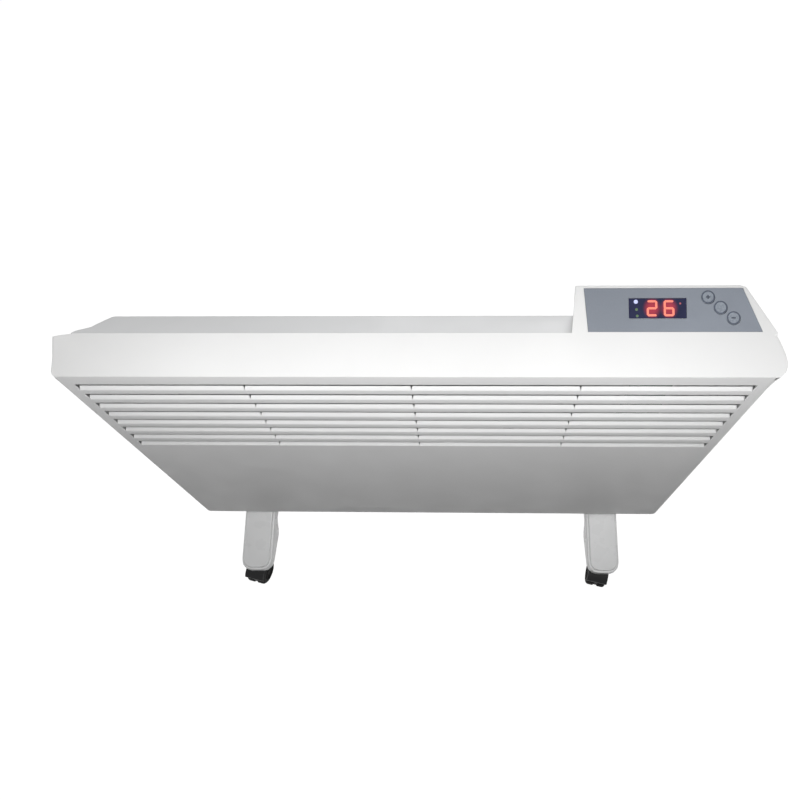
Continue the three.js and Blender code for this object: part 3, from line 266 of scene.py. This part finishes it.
def circuit_board():
    """Green laminate with blocks that read as tracks and pads."""
    s = Shader("circuit_board", ior=1.5, coat=0.3)
    track = s.add("ShaderNodeTexBrick", offset=0.37, squash=1.7)
    s.feed(track.inputs["Vector"], s.mapped((BOARD_TRACKS,) * 3, rotation=(math.pi / 2, 0, 0)))
    tone = s.mix(s.remap(track.outputs["Fac"], 0.2, 0.8), (0.02, 0.13, 0.05), (0.05, 0.24, 0.1))
    s.bump(track.outputs["Fac"], 0.03 * MM)
    return s.finish(tone, s.remap(s.noise(50), 0.3, 0.7, 0.3, 0.45))


MATERIALS = {
    "white_enamel": coating("white_enamel", (0.85, 0.85, 0.85), 0.5, peel=(1.1, 0.012), grain=(0.35, 0.004),
                            wear=0.25, corner_shade=0.25, ior=1.35),
    # The rear shell is the same white enamel as the front cover, painted darker as painted shade.
    "rear_enamel": coating("rear_enamel", (0.72, 0.725, 0.73), 0.45, peel=(1.2, 0.014), grain=(0.35, 0.004),
                           wear=0.3, corner_shade=0.3),
    "white_plastic": coating("white_plastic", (0.83, 0.83, 0.826), 0.36, peel=(2.5, 0.006), grain=(0.3, 0.005),
                             wear=0.2, corner_shade=0.2, coat=0.1),
    "foot_plastic": coating("foot_plastic", (0.85, 0.855, 0.855), 0.28, peel=(3.0, 0.006), grain=(0.4, 0.004),
                            wear=0.35, corner_shade=0.3, coat=0.2),
    "overlay_film": film(),
    "black_plastic": coating("black_plastic", (0.016, 0.016, 0.017), 0.5, peel=(0.8, 0.02), grain=(0.25, 0.012),
                             patch=0.15, wear=0.5, corner_shade=0.2, ior=1.4, gloss=0.25),
    "castor_wheel": coating("castor_wheel", (0.008, 0.008, 0.008), 0.6, peel=(1.2, 0.03), grain=(0.3, 0.015),
                            patch=0.2, wear=0.5, corner_shade=0.2, ior=1.35, gloss=0.12),
    "circuit_board": circuit_board(),
    "aluminium_fin": metal("aluminium_fin", (0.78, 0.79, 0.80), 0.34, stretch=(0.03, 1, 1)),
    "zinc_steel": metal("zinc_steel", (0.70, 0.71, 0.72), 0.36, stretch=(0.2, 1, 1), spots=0.3),
    "ceramic": coating("ceramic", (0.78, 0.74, 0.64), 0.25, peel=(1.5, 0.01), grain=(0.5, 0.004),
                       patch=0.08, coat=0.4),
}

# ---- the sloping control panel --------------------------------------------------------------
PANEL_RISE, PANEL_RUN = 20, 41
SLOPE = math.atan(PANEL_RISE / PANEL_RUN)
ALONG = Vector((1, 0, 0))
UPHILL = Vector((0, math.cos(SLOPE), math.sin(SLOPE)))
PROUD = Vector((0, -math.sin(SLOPE), math.cos(SLOPE)))
PANEL = Matrix((ALONG, UPHILL, PROUD)).transposed().to_4x4()


def panel_frame(centre):
    """The matrix that takes x, y, z on the slope round centre to the frame of the whole object."""
    return Matrix.Translation(centre) @ PANEL


def top_centre(node):
    """The middle of a node's upper sloping face."""
    low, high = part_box(node)
    middle = (low + high) / 2
    top = max((v.co - middle).dot(PROUD) for v in frame["nodes"][node].data.vertices)
    return middle + PROUD * top


DISPLAY_CENTRE = top_centre("display_window")
DIGIT = {"width": 10.8, "height": 16.5, "stroke": 2.2, "centres": (-5.65, 11.35),
         "segments": ("abged", "afgedc")}
GLOW_WIDTH, GLOW_HEIGHT, GLOW_DEPTH = 0.95, 0.75, 0.01


def lens():
    """Dark blue window that glows round the lit figures."""
    s = Shader("dark_lens", coat=0.05, coat_roughness=0.05)
    s.bsdf.inputs["Specular IOR Level"].default_value = 0.2
    tone = s.mix(s.remap(s.noise(30, 3), 0.3, 0.7), (0.016, 0.018, 0.055), (0.026, 0.03, 0.08))
    glow = 0.0
    for x in DIGIT["centres"]:
        centre = DISPLAY_CENTRE + ALONG * x * MM
        size = (DIGIT["width"] * GLOW_WIDTH * MM, DIGIT["height"] * GLOW_HEIGHT * MM, GLOW_DEPTH)
        ball = s.add("ShaderNodeTexGradient", gradient_type="SPHERICAL")
        s.feed(ball.inputs["Vector"], s.mapped(size, centre, (SLOPE, 0, 0), "TEXTURE"))
        glow = s.combine("ADD", glow, s.remap(ball.outputs["Fac"], 0.0, 0.75))
    light = s.mix(s.combine("MINIMUM", glow, 1.0), (0.0, 0.0, 0.0), (0.42, 0.024, 0.012))
    s.bump(s.noise(900, 1), 0.004 * MM)
    return s.finish(tone, s.remap(s.noise(80, 3), 0.3, 0.7, 0.1, 0.2), light, 1.0)


MATERIALS["dark_lens"] = lens()


def lit_mark(name, colour, strength, dim):
    """A lit mark that is a little uneven over its face."""
    s = Shader(name)
    glow = s.mix(s.remap(s.noise(900, 2), 0.3, 0.7), scaled(colour, dim), colour)
    s.bump(s.noise(1500, 1), 0.01 * MM)
    return s.finish(scaled(colour, 0.4), s.remap(s.noise(700), 0.3, 0.7, 0.35, 0.5), glow, strength)


LIT = {
    "red": lit_mark("lit_red", (0.92, 0.24, 0.17), 0.95, 0.75),
    "white": lit_mark("lit_white", (0.62, 0.66, 1.0), 0.8, 0.7),
    "green": lit_mark("dim_green", (0.10, 0.17, 0.08), 0.7, 0.6),
    "rose": lit_mark("dim_rose", (0.5, 0.12, 0.14), 0.7, 0.6),
}


def print_ink(name, colour):
    """Ink of a slightly uneven tone with a fine relief."""
    s = Shader(name)
    tone = s.mix(s.remap(s.noise(500, 3), 0.35, 0.65), scaled(colour, 0.85), scaled(colour, 1.1))
    s.bump(s.noise(1800, 1), 0.01 * MM)
    return s.finish(tone, s.remap(s.noise(200), 0.3, 0.7, 0.4, 0.55))


INK = {
    "ring": print_ink("ring_ink", (0.085, 0.10, 0.135)),
    "mark": print_ink("mark_ink", (0.05, 0.06, 0.085)),
    "key": print_ink("key_cap", (0.26, 0.29, 0.335)),
}

# ---- mesh helpers ---------------------------------------------------------------------------
WELD_MM = 0.01
BEVEL_SEGMENTS = 2
BEVEL_FROM_DEGREES = 35
SHARP_FROM_DEGREES = 33


def new_object(name, bm, material, matrix=None):
    """Turns a bmesh drawn in millimetres into an object in metres with one material."""
    bmesh.ops.recalc_face_normals(bm, faces=bm.faces)
    mesh = bpy.data.meshes.new(name)
    bm.to_mesh(mesh)
    bm.free()
    mesh.transform((matrix or Matrix.Identity(4)) @ Matrix.Scale(MM, 4))
    mesh.materials.append(material)
    obj = bpy.data.objects.new(name, mesh)
    bpy.context.scene.collection.objects.link(obj)
    return obj


def lathe(profile, sides):
    """Turns a closed profile of (radius, height) about z. A radius may be a function of the angle."""
    bm = bmesh.new()
    rings = []
    for radius, height in profile:
        if not callable(radius) and radius < 1e-6:
            rings.append([bm.verts.new((0, 0, height))])
            continue
        ring = []
        for i in range(sides):
            a = 2 * math.pi * i / sides
            r = radius(a) if callable(radius) else radius
            ring.append(bm.verts.new((r * math.cos(a), r * math.sin(a), height)))
        rings.append(ring)
    pairs = list(zip(rings, rings[1:]))
    if len(rings[0]) > 1:
        pairs.append((rings[-1], rings[0]))
    for a, b in pairs:
        for i in range(sides):
            j = (i + 1) % sides
            corners = [a[i % len(a)], a[j % len(a)], b[j % len(b)], b[i % len(b)]]
            corners = [v for k, v in enumerate(corners) if v not in corners[:k]]
            if len(corners) > 2:
                bm.faces.new(corners)
    return bm


def slab(points, low, high):
    """A flat outline (x, y) with a thickness."""
    bm = bmesh.new()
    bottom = [bm.verts.new((x, y, low)) for x, y in points]
    top = [bm.verts.new((x, y, high)) for x, y in points]
    bm.faces.new(bottom[::-1])
    bm.faces.new(top)
    for i in range(len(points)):
        j = (i + 1) % len(points)
        bm.faces.new((bottom[i], bottom[j], top[j], top[i]))
    return bm


def smooth_group():
    """A node group that shades smooth across every edge but the sharp ones."""
    group = bpy.data.node_groups.new("soft_edges", "GeometryNodeTree")
    for way in ("INPUT", "OUTPUT"):
        group.interface.new_socket("Geometry", in_out=way, socket_type="NodeSocketGeometry")
    start, end = group.nodes.new("NodeGroupInput"), group.nodes.new("NodeGroupOutput")
    shade = group.nodes.new("GeometryNodeSetMeshNormal")
    shade.mode = "SHARPNESS"
    shade.inputs["Remove Custom"].default_value = True
    angle = group.nodes.new("GeometryNodeInputMeshEdgeAngle")
    sharp = group.nodes.new("FunctionNodeCompare")
    sharp.operation = "GREATER_THAN"
    sharp.inputs[1].default_value = math.radians(SHARP_FROM_DEGREES)
    group.links.new(start.outputs[0], shade.inputs["Mesh"])
    group.links.new(angle.outputs["Unsigned Angle"], sharp.inputs[0])
    group.links.new(sharp.outputs[0], shade.inputs["Edge Sharpness"])
    group.links.new(shade.outputs["Mesh"], end.inputs[0])
    return group


SOFT = smooth_group()


def soften(obj, width):
    """Rounds the edges of a shape by a width in mm, then shades it smooth between them."""
    weld = obj.modifiers.new("weld", "WELD")
    weld.merge_threshold = WELD_MM * MM
    if width:
        bevel = obj.modifiers.new("bevel", "BEVEL")
        bevel.limit_method = "ANGLE"
        bevel.angle_limit = math.radians(BEVEL_FROM_DEGREES)
        bevel.width = width * MM
        bevel.segments = BEVEL_SEGMENTS
        bevel.use_clamp_overlap = True
    soft = obj.modifiers.new("soft", "NODES")
    soft.node_group = SOFT
    weighted = obj.modifiers.new("weighted", "WEIGHTED_NORMAL")
    weighted.keep_sharp = True


def piece(name, bm, material, body, matrix=None, width=0.0, stands_for=None):
    """A finished piece that rides a body, and may stand for a CAD node."""
    obj = new_object(name, bm, material, matrix)
    soften(obj, width)
    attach(obj, body)
    if stands_for:
        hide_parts(stands_for)


# ---- CAD nodes that are shown as they are ---------------------------------------------------
BEVEL = 0.25
BEVELS = {
    "rear_shell": 0.3, "top_trim": 0.5, "control_overlay": 0.12, "display_window": 0.12,
    "display_module": 0.3, "control_board": 0.15, "heat_shield": 0.2, "power_board": 0.3,
}
SLOT_OF = {part["node"]: part["material_slot"] for part in frame["record"]["subparts"]}
for node_name, node in frame["nodes"].items():
    node.data.materials.clear()
    node.data.materials.append(MATERIALS[SLOT_OF[node_name]])
    soften(node, BEVELS.get(node_name, BEVEL))

# ---- lit figures and marks of the display ---------------------------------------------------
MARK_LOW, MARK_HIGH = -0.1, 0.12
MARK_BEVEL = 0.05
MARK_SIDES = 40
SEGMENT_GAP = 0.42
FACE = panel_frame(DISPLAY_CENTRE)


def segment_bar(x0, y0, x1, y1, stroke):
    """A bar with rounded ends between two points."""
    direction = Vector((x1 - x0, y1 - y0)).normalized()
    side = Vector((-direction.y, direction.x))
    points = []
    for centre, start in ((Vector((x1, y1)), -90), (Vector((x0, y0)), 90)):
        for i in range(7):
            a = math.radians(start + 30 * i)
            offset = direction * math.cos(a) + side * math.sin(a)
            points.append(tuple(centre + offset * stroke / 2))
    return slab(points, MARK_LOW, MARK_HIGH)


def figure(number, centre, segments):
    """One figure of seven-segment bars, named by the usual letters a to g."""
    stroke = DIGIT["stroke"]
    w, h = DIGIT["width"] / 2 - stroke / 2, DIGIT["height"] / 2 - stroke / 2
    cut = stroke * SEGMENT_GAP
    ends = {
        "a": (-w + cut, h, w - cut, h), "g": (-w + cut, 0, w - cut, 0), "d": (-w + cut, -h, w - cut, -h),
        "b": (w, h - cut, w, cut), "c": (w, -cut, w, -h + cut),
        "e": (-w, -cut, -w, -h + cut), "f": (-w, h - cut, -w, cut),
    }
    for letter in segments:
        x0, y0, x1, y1 = ends[letter]
        bar = segment_bar(centre + x0, y0, centre + x1, y1, stroke)
        piece(f"figure_{number}_{letter}", bar, LIT["red"], "case", FACE, MARK_BEVEL)


for number, (centre, segments) in enumerate(zip(DIGIT["centres"], DIGIT["segments"])):
    figure(number, centre, segments)

for name, x, y, radius, lit in (
    ("symbol_glow", -21.8, 6.7, 2.1, "white"),
    ("signal_upper", -21.2, -1.2, 1.4, "green"),
    ("signal_lower", -20.6, -7.8, 1.4, "green"),
    ("signal_dot", 22.6, 4.9, 1.0, "rose"),
):
    spot = panel_frame(DISPLAY_CENTRE + ALONG * x * MM + UPHILL * y * MM)
    disc = lathe([(0, MARK_LOW), (radius, MARK_LOW), (radius, MARK_HIGH), (0, MARK_HIGH)], MARK_SIDES)
    piece(name, disc, LIT[lit], "case", spot, MARK_BEVEL)

# ---- keys -----------------------------------------------------------------------------------
KEY_MARKS = {"key_plus": ((4.4, 1.3), (1.3, 4.4)), "key_mode": (), "key_minus": ((4.4, 1.3),)}
KEY_SIDES = 64
KEY_TOP = -0.12
RIM = {"radius": 6.9, "height": -0.55, "inset": 0.5, "rise": 0.43, "angles": (0.5, 1.0, 1.57)}
RING = {"outer": 6.75, "inner": 5.35, "low": KEY_TOP - 0.02, "high": KEY_TOP + 0.08, "bevel": 0.03}


def key_cap():
    """A key from its plunger up: the flange that holds it in, its rounded rim and a dish for a finger."""
    profile = [(0, -5.7), (2, -5.7), (2, -3.6), (7.9, -3.6), (7.9, -2.65), (RIM["radius"], -2.65)]
    profile += [(RIM["radius"], RIM["height"])]
    profile += [(RIM["radius"] - RIM["inset"] * (1 - math.cos(a)), RIM["height"] + RIM["rise"] * math.sin(a))
                for a in RIM["angles"]]
    profile += [(5.4, KEY_TOP), (4.6, KEY_TOP - 0.12), (3.0, KEY_TOP - 0.2), (0, KEY_TOP - 0.22)]
    return lathe(profile, KEY_SIDES)


def key_ring():
    """The printed ring of a key. Its section is 0.1 mm thick and crosses itself at half its width."""
    inner, outer = RING["inner"], RING["outer"]
    low, high = RING["low"], RING["high"]
    return lathe([(inner, low), (inner, high), (outer, low), (outer, high)], KEY_SIDES)


def key_mark(w, h, number):
    """A bar of a plus or minus sign, the second a little higher than the first."""
    outline = [(-w / 2, -h / 2), (w / 2, -h / 2), (w / 2, h / 2), (-w / 2, h / 2)]
    return slab(outline, KEY_TOP - 0.3, KEY_TOP - 0.14 + 0.02 * number)


for key, marks in KEY_MARKS.items():
    here = panel_frame(top_centre(key))
    piece(key + "_cap", key_cap(), INK["key"], key, here, stands_for=key)
    piece(key + "_ring", key_ring(), INK["ring"], key, here, RING["bevel"])
    for number, (w, h) in enumerate(marks):
        bar = key_mark(w, h, number)
        piece(f"{key}_mark_{number}", bar, INK["mark"], key, here, MARK_BEVEL)

# ---- top trim and rear shell, with the soft ends that the CAD draws straight -----------------
# All in mm, in the frame of the whole object.
CASE_CENTRE = -4.75
HALF_WIDTH = 370.0
CASE_LEFT, CASE_RIGHT = CASE_CENTRE - HALF_WIDTH, CASE_CENTRE + HALF_WIDTH
FACE_Y = -41.0
COVER_BEND = 6.0
CORNER = {"radius": 7.0, "fade": 22}
TAPER = {"length": 32.0, "depth": 4.2, "front": -24, "ridge": 0}
SKIRT = {"top": 508.0, "foot": 486.0, "left": 0.15, "bend_from": 502}
TRIM_CUTS = {
    "x": [CASE_LEFT + d for d in (2.4, 5, 9, 13, 17, 21, 25, 29, 33)],
    "y": [FACE_Y + d for d in (0.4, 0.9, 1.6, 2.5, 3.6, 5.0, 7.0)] + [-20, -14, -9, -5, -2.3],
    "z": [490, 494, 498, 502, 505],
}


def reshaped(name, node, cuts, move):
    """A finer copy of a CAD node: cut along planes, with each point then moved by move(x, y, z) in mm."""
    bm = bmesh.new()
    bm.from_mesh(frame["nodes"][node].data)
    bmesh.ops.scale(bm, vec=(1 / MM, 1 / MM, 1 / MM), verts=bm.verts)
    bmesh.ops.remove_doubles(bm, verts=bm.verts, dist=WELD_MM)
    for axis, places in cuts.items():
        normal = Vector((axis == "x", axis == "y", axis == "z"))
        for place in places:
            everything = bm.verts[:] + bm.edges[:] + bm.faces[:]
            bmesh.ops.bisect_plane(bm, geom=everything, dist=0.001, plane_co=normal * place, plane_no=normal)
    for vertex in bm.verts:
        vertex.co = move(*vertex.co)
    slot = SLOT_OF[node]
    piece(name, bm, MATERIALS[slot], "case", width=BEVELS[node], stands_for=node)


def ease(value, start, end):
    """0 up to start, 1 from end, and an even curve between them."""
    t = min(max((value - start) / (end - start), 0.0), 1.0)
    return t * t * (3 - 2 * t)


def corner_inset(depth, radius):
    """How far a rounded corner stands back from the square one, at a depth behind the face."""
    return radius - math.sqrt(max(radius ** 2 - (radius - depth) ** 2, 0.0))


def trim_point(x, y, z):
    """Rounds the front left corner, lets the ridge fall away at the left and draws the right skirt in."""
    depth = max(y - FACE_Y, 0.0)
    if depth < CORNER["radius"]:
        x += corner_inset(depth, CORNER["radius"]) * (1 - ease(x, CASE_LEFT, CASE_LEFT + CORNER["fade"]))
    if x < CASE_LEFT + TAPER["length"]:
        away = (CASE_LEFT + TAPER["length"] - x) / TAPER["length"]
        y -= TAPER["depth"] * away ** 2 * ease(y, TAPER["front"], TAPER["ridge"])
    if x > CASE_RIGHT and z < SKIRT["top"]:
        bulge = SKIRT["left"] + (1 - SKIRT["left"]) * ease(z, SKIRT["foot"], SKIRT["top"])
        x = CASE_RIGHT + (x - CASE_RIGHT) * bulge
        if depth < COVER_BEND:
            x -= corner_inset(depth, COVER_BEND) * (1 - ease(z, SKIRT["bend_from"], SKIRT["top"]))
    return x, y, z


reshaped("top_trim_moulding", "top_trim", TRIM_CUTS, trim_point)

# Half the shell's width at depths behind the joint: as the CAD has it, and as the photo shows it.
FLANK_DRAWN = ((0.3, 352.0), (7.6, 349.1), (15.0, 342.4), (22.3, 334.6), (29.7, 327.9), (37.0, 325.0))
FLANK_SHOWN = ((0.3, 347.0), (7.6, 344.0), (15.0, 342.0), (22.3, 340.0), (29.7, 336.5), (37.0, 332.5))
FLANGE_BACK = 1.35
FLANK_FROM, FLANK_WHOLE = 306, 320
SHELL_CUTS = {"y": [4, 7.6, 11, 15, 19, 22.3, 26, 29.7, 33]}


def along(table, place):
    """A value from a table of (place, value) rows, straight between rows."""
    for (p0, v0), (p1, v1) in zip(table, table[1:]):
        if place <= p1:
            return v0 + (v1 - v0) * max((place - p0) / (p1 - p0), 0.0)
    return table[-1][1]


def shell_point(x, y, z):
    """Moves the shell's flanks behind its flange, so that its roof ends in a steeper shoulder."""
    side = x - CASE_CENTRE
    if y > FLANGE_BACK:
        shift = (along(FLANK_SHOWN, y) - along(FLANK_DRAWN, y)) * ease(abs(side), FLANK_FROM, FLANK_WHOLE)
        x += math.copysign(shift, side)
    return x, y, z


reshaped("rear_shell_pressing", "rear_shell", SHELL_CUTS, shell_point)

# ---- castor wheels --------------------------------------------------------------------------
WHEEL = {"radius": 19.98, "width": 12.0, "gap": 3.3, "bore": 2.3, "bore_end": 9.3, "shoulder": 4.5,
         "bevel": 0.12}
WHEEL_SIDES = 64
SPOKES = 6


def rounding(centre_r, centre_h, radius, start, end, steps):
    """Points of an arc in a profile, from one angle to another in degrees."""
    angles = [math.radians(start + (end - start) * i / steps) for i in range(steps + 1)]
    return [(centre_r + radius * math.cos(a), centre_h + radius * math.sin(a)) for a in angles]


def castor_wheel():
    """A wheel that lies on its inner face: grooved tread, round shoulder, dished outer face with spokes."""
    r, w, bore, bore_end, shoulder = (WHEEL[k] for k in ("radius", "width", "bore", "bore_end", "shoulder"))
    profile = [(0, bore_end), (bore, bore_end), (bore, 0.0), (4.4, 0.0), (5.0, 0.8), (16.6, 0.8), (17.2, 0.0)]
    profile += [(r - 0.7, 0.0), (r, 0.7), (r, 3.4), (r - 0.45, 3.7), (r - 0.45, 4.3), (r, 4.6)]
    profile += rounding(r - shoulder, w - shoulder, shoulder, 0, 90, 7)
    profile += [(12.6, w), (12.1, w - 0.25), (11.6, w - 1.3), (4.9, w - 1.5), (4.5, w - 1.3), (4.3, w - 0.8)]
    profile += [(3.6, w - 0.6), (0, w - 0.55)]
    bm = lathe(profile, WHEEL_SIDES)
    for i in range(SPOKES):
        rib = slab([(4.0, -0.8), (11.9, -0.65), (11.9, 0.65), (4.0, 0.8)], w - 2.2, w - 0.75)
        rib.transform(Matrix.Rotation(2 * math.pi * i / SPOKES, 4, "Z"))
        extra = bpy.data.meshes.new("rib")
        rib.to_mesh(extra)
        rib.free()
        bm.from_mesh(extra)
        bpy.data.meshes.remove(extra)
    return bm


def wheel_seat(joint, side):
    """The matrix that puts a wheel on its axle, with its outer face to the given side of the castor."""
    outward = Vector(joint["axis"]).normalized() * side
    across = Vector((0, 0, 1)).cross(outward).normalized()
    turn = Matrix((across, outward.cross(across), outward)).transposed().to_4x4()
    return Matrix.Translation(Vector(joint["pos_m"]) + outward * WHEEL["gap"] * MM) @ turn


for joint in frame["joints"]:
    if joint["name"].endswith("_spin"):
        wheel = joint["child"]
        seat = wheel_seat(joint, -1 if wheel.startswith("wheel_a") else 1)
        piece(wheel + "_tyre", castor_wheel(), MATERIALS["castor_wheel"], wheel, seat,
              WHEEL["bevel"], stands_for=wheel)

# ---- screws ---------------------------------------------------------------------------------
SCREW = {"head": 2.4, "sides": 32, "pitch": 0.8, "point": 1.6, "crest": 1.98, "root": 1.62}


def recess(angle):
    """A crosshead's outline: four lobes round a core."""
    return 0.5 + 1.25 * abs(math.cos(2 * angle)) ** 4


def screw(length):
    """A pan-head screw with its thread along z and its crosshead recess towards -z."""
    profile = [(0, -1.0), (recess, -1.25), (recess, -2.22), (2.3, -2.3), (3.4, -1.85), (3.8, -1.2)]
    profile += [(3.98, -0.45), (3.98, 0.0), (2.0, 0.0)]
    z = 0.0
    while z < length - SCREW["point"]:
        profile += [(SCREW["crest"], z + 0.15), (SCREW["root"], z + 0.55)]
        z += SCREW["pitch"]
    profile += [(SCREW["crest"], z + 0.1), (1.4, length - 0.4), (0.0, length)]
    return lathe(profile, SCREW["sides"])


for node_name in [name for name in frame["nodes"] if "_screw_" in name]:
    low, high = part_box(node_name)
    middle = (low + high) / 2
    if node_name.startswith("foot"):
        seat = Matrix.Translation((middle.x, middle.y, low.z + SCREW["head"] * MM))
        length = (high.z - low.z) / MM - SCREW["head"]
    else:
        seat = Matrix.Translation((middle.x, high.y - SCREW["head"] * MM, middle.z))
        seat = seat @ Matrix.Rotation(math.pi / 2, 4, "X")
        length = (high.y - low.y) / MM - SCREW["head"]
    piece(node_name + "_head", screw(length), MATERIALS["zinc_steel"], "case", seat,
          stands_for=node_name)

# ---- cord gland -----------------------------------------------------------------------------
GLAND = {"bore": 3.6, "thread": 8.0, "root": 7.5, "collar": 12.0, "nose": 13.0, "ribs": 3, "sides": 64,
         "bevel": 0.1}


def cord_gland(length):
    """A gland along z: a threaded tail inside the case, then a collar, a ribbed nose and a rounded mouth."""
    bore, thread, collar = GLAND["bore"], GLAND["thread"], GLAND["collar"]
    tail = length - GLAND["nose"]
    profile = [(bore, 0.0), (7.6, 0.0), (thread, 0.5)]
    z = 0.5
    while z < tail - 2:
        profile += [(thread, z + 0.5), (GLAND["root"], z + 0.8)]
        z += 1.0
    profile += [(thread, tail), (collar - 0.6, tail), (collar, tail + 0.6), (collar, tail + 3.4)]
    profile += [(collar - 0.6, tail + 4.0), (9.9, tail + 4.0)]
    for i in range(GLAND["ribs"]):
        z = tail + 5.0 + i * 2.4
        r = 9.6 - 0.6 * i
        profile += [(r, z), (r, z + 1.2), (r - 0.7, z + 1.4), (r - 0.7, z + 2.2)]
    profile += [(7.6, length - 0.5), (7.1, length), (4.3, length), (bore, length - 0.6)]
    return lathe(profile, GLAND["sides"])


low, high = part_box("cord_gland")
seat = Matrix.Translation(((low.x + high.x) / 2, low.y, (low.z + high.z) / 2))
seat = seat @ Matrix.Rotation(-math.pi / 2, 4, "X")
piece("cord_gland_sleeve", cord_gland((high.y - low.y) / MM), MATERIALS["black_plastic"], "case",
      seat, GLAND["bevel"], stands_for="cord_gland")

# ---- floor, world and lamps -----------------------------------------------------------------
FLOOR = {"half_size": 6000, "seen": 0.35, "bounce": 0.1, "glow": 0.92}
WORLD = {"level": 0.04, "seen": 1.0}


def seen_directly(tree):
    """1 where the camera sees a surface, also by way of gloss or glass, and 0 where light only bounces."""
    path = tree.nodes.new("ShaderNodeLightPath")
    seen = path.outputs["Is Camera Ray"]
    for ray in ("Is Glossy Ray", "Is Transmission Ray"):
        either = tree.nodes.new("ShaderNodeMath")
        either.operation = "MAXIMUM"
        tree.links.new(seen, either.inputs[0])
        tree.links.new(path.outputs[ray], either.inputs[1])
        seen = either.outputs[0]
    return seen


def between(tree, factor, low, high):
    """A level that goes from low to high with the factor."""
    node = tree.nodes.new("ShaderNodeMapRange")
    node.inputs["To Min"].default_value = low
    node.inputs["To Max"].default_value = high
    tree.links.new(factor, node.inputs["Value"])
    return node.outputs["Result"]


def make_floor():
    """A plain pale floor that keeps the object's shadow and gives little light back."""
    bm = bmesh.new()
    bmesh.ops.create_grid(bm, x_segments=1, y_segments=1, size=FLOOR["half_size"])
    material = bpy.data.materials.new("floor")
    material.use_nodes = True
    tree = material.node_tree
    tree.nodes.clear()
    seen = seen_directly(tree)
    diffuse = tree.nodes.new("ShaderNodeBsdfDiffuse")
    tree.links.new(between(tree, seen, FLOOR["bounce"], FLOOR["seen"]), diffuse.inputs["Color"])
    shine = tree.nodes.new("ShaderNodeEmission")
    tree.links.new(between(tree, seen, 0.0, FLOOR["glow"]), shine.inputs["Strength"])
    both = tree.nodes.new("ShaderNodeAddShader")
    tree.links.new(diffuse.outputs[0], both.inputs[0])
    tree.links.new(shine.outputs[0], both.inputs[1])
    out = tree.nodes.new("ShaderNodeOutputMaterial")
    tree.links.new(both.outputs[0], out.inputs["Surface"])
    new_object("floor", bm, material)


def make_world():
    """A white world as the camera sees it, which lights the object only a little."""
    world = bpy.data.worlds.new("world")
    bpy.context.scene.world = world
    world.use_nodes = True
    tree = world.node_tree
    background = tree.nodes["Background"]
    background.inputs["Color"].default_value = (1, 1, 1, 1)
    level = between(tree, seen_directly(tree), WORLD["level"], WORLD["seen"])
    tree.links.new(level, background.inputs["Strength"])


def area_lamp(name, place, target, size, power):
    """A rectangular lamp at a place, turned to a target. Metres and watts."""
    data = bpy.data.lights.new(name, "AREA")
    data.shape = "RECTANGLE"
    data.size, data.size_y = size
    data.energy = power
    lamp = bpy.data.objects.new(name, data)
    lamp.location = place
    lamp.rotation_euler = (Vector(target) - Vector(place)).to_track_quat("-Z", "Y").to_euler()
    lamp.visible_camera = False
    bpy.context.scene.collection.objects.link(lamp)


make_floor()
make_world()
area_lamp("front_lamp", (0.12, -0.42, 0.72), (0, -0.04, 0.45), (1.4, 0.2), 1.48)
for name, x, power in (("strip_left", -0.25, 0.68), ("strip_middle", 0.05, 0.54), ("strip_right", 0.32, 0.50)):
    area_lamp(name, (x, -0.2, 0.78), (x, -0.04, 0.5), (0.35, 0.12), power)
area_lamp("back_lamp", (0.3, 2.2, 1.2), (0, 0, 0.3), (1.8, 1.2), 33)
area_lamp("left_lamp", (-1.7, 0, 0.42), (0, 0, 0.3), (0.9, 0.5), 5)
area_lamp("right_lamp", (1.7, 0, 0.42), (0, 0, 0.3), (0.9, 0.5), 5)

bpy.context.scene.view_settings.view_transform = "Standard"
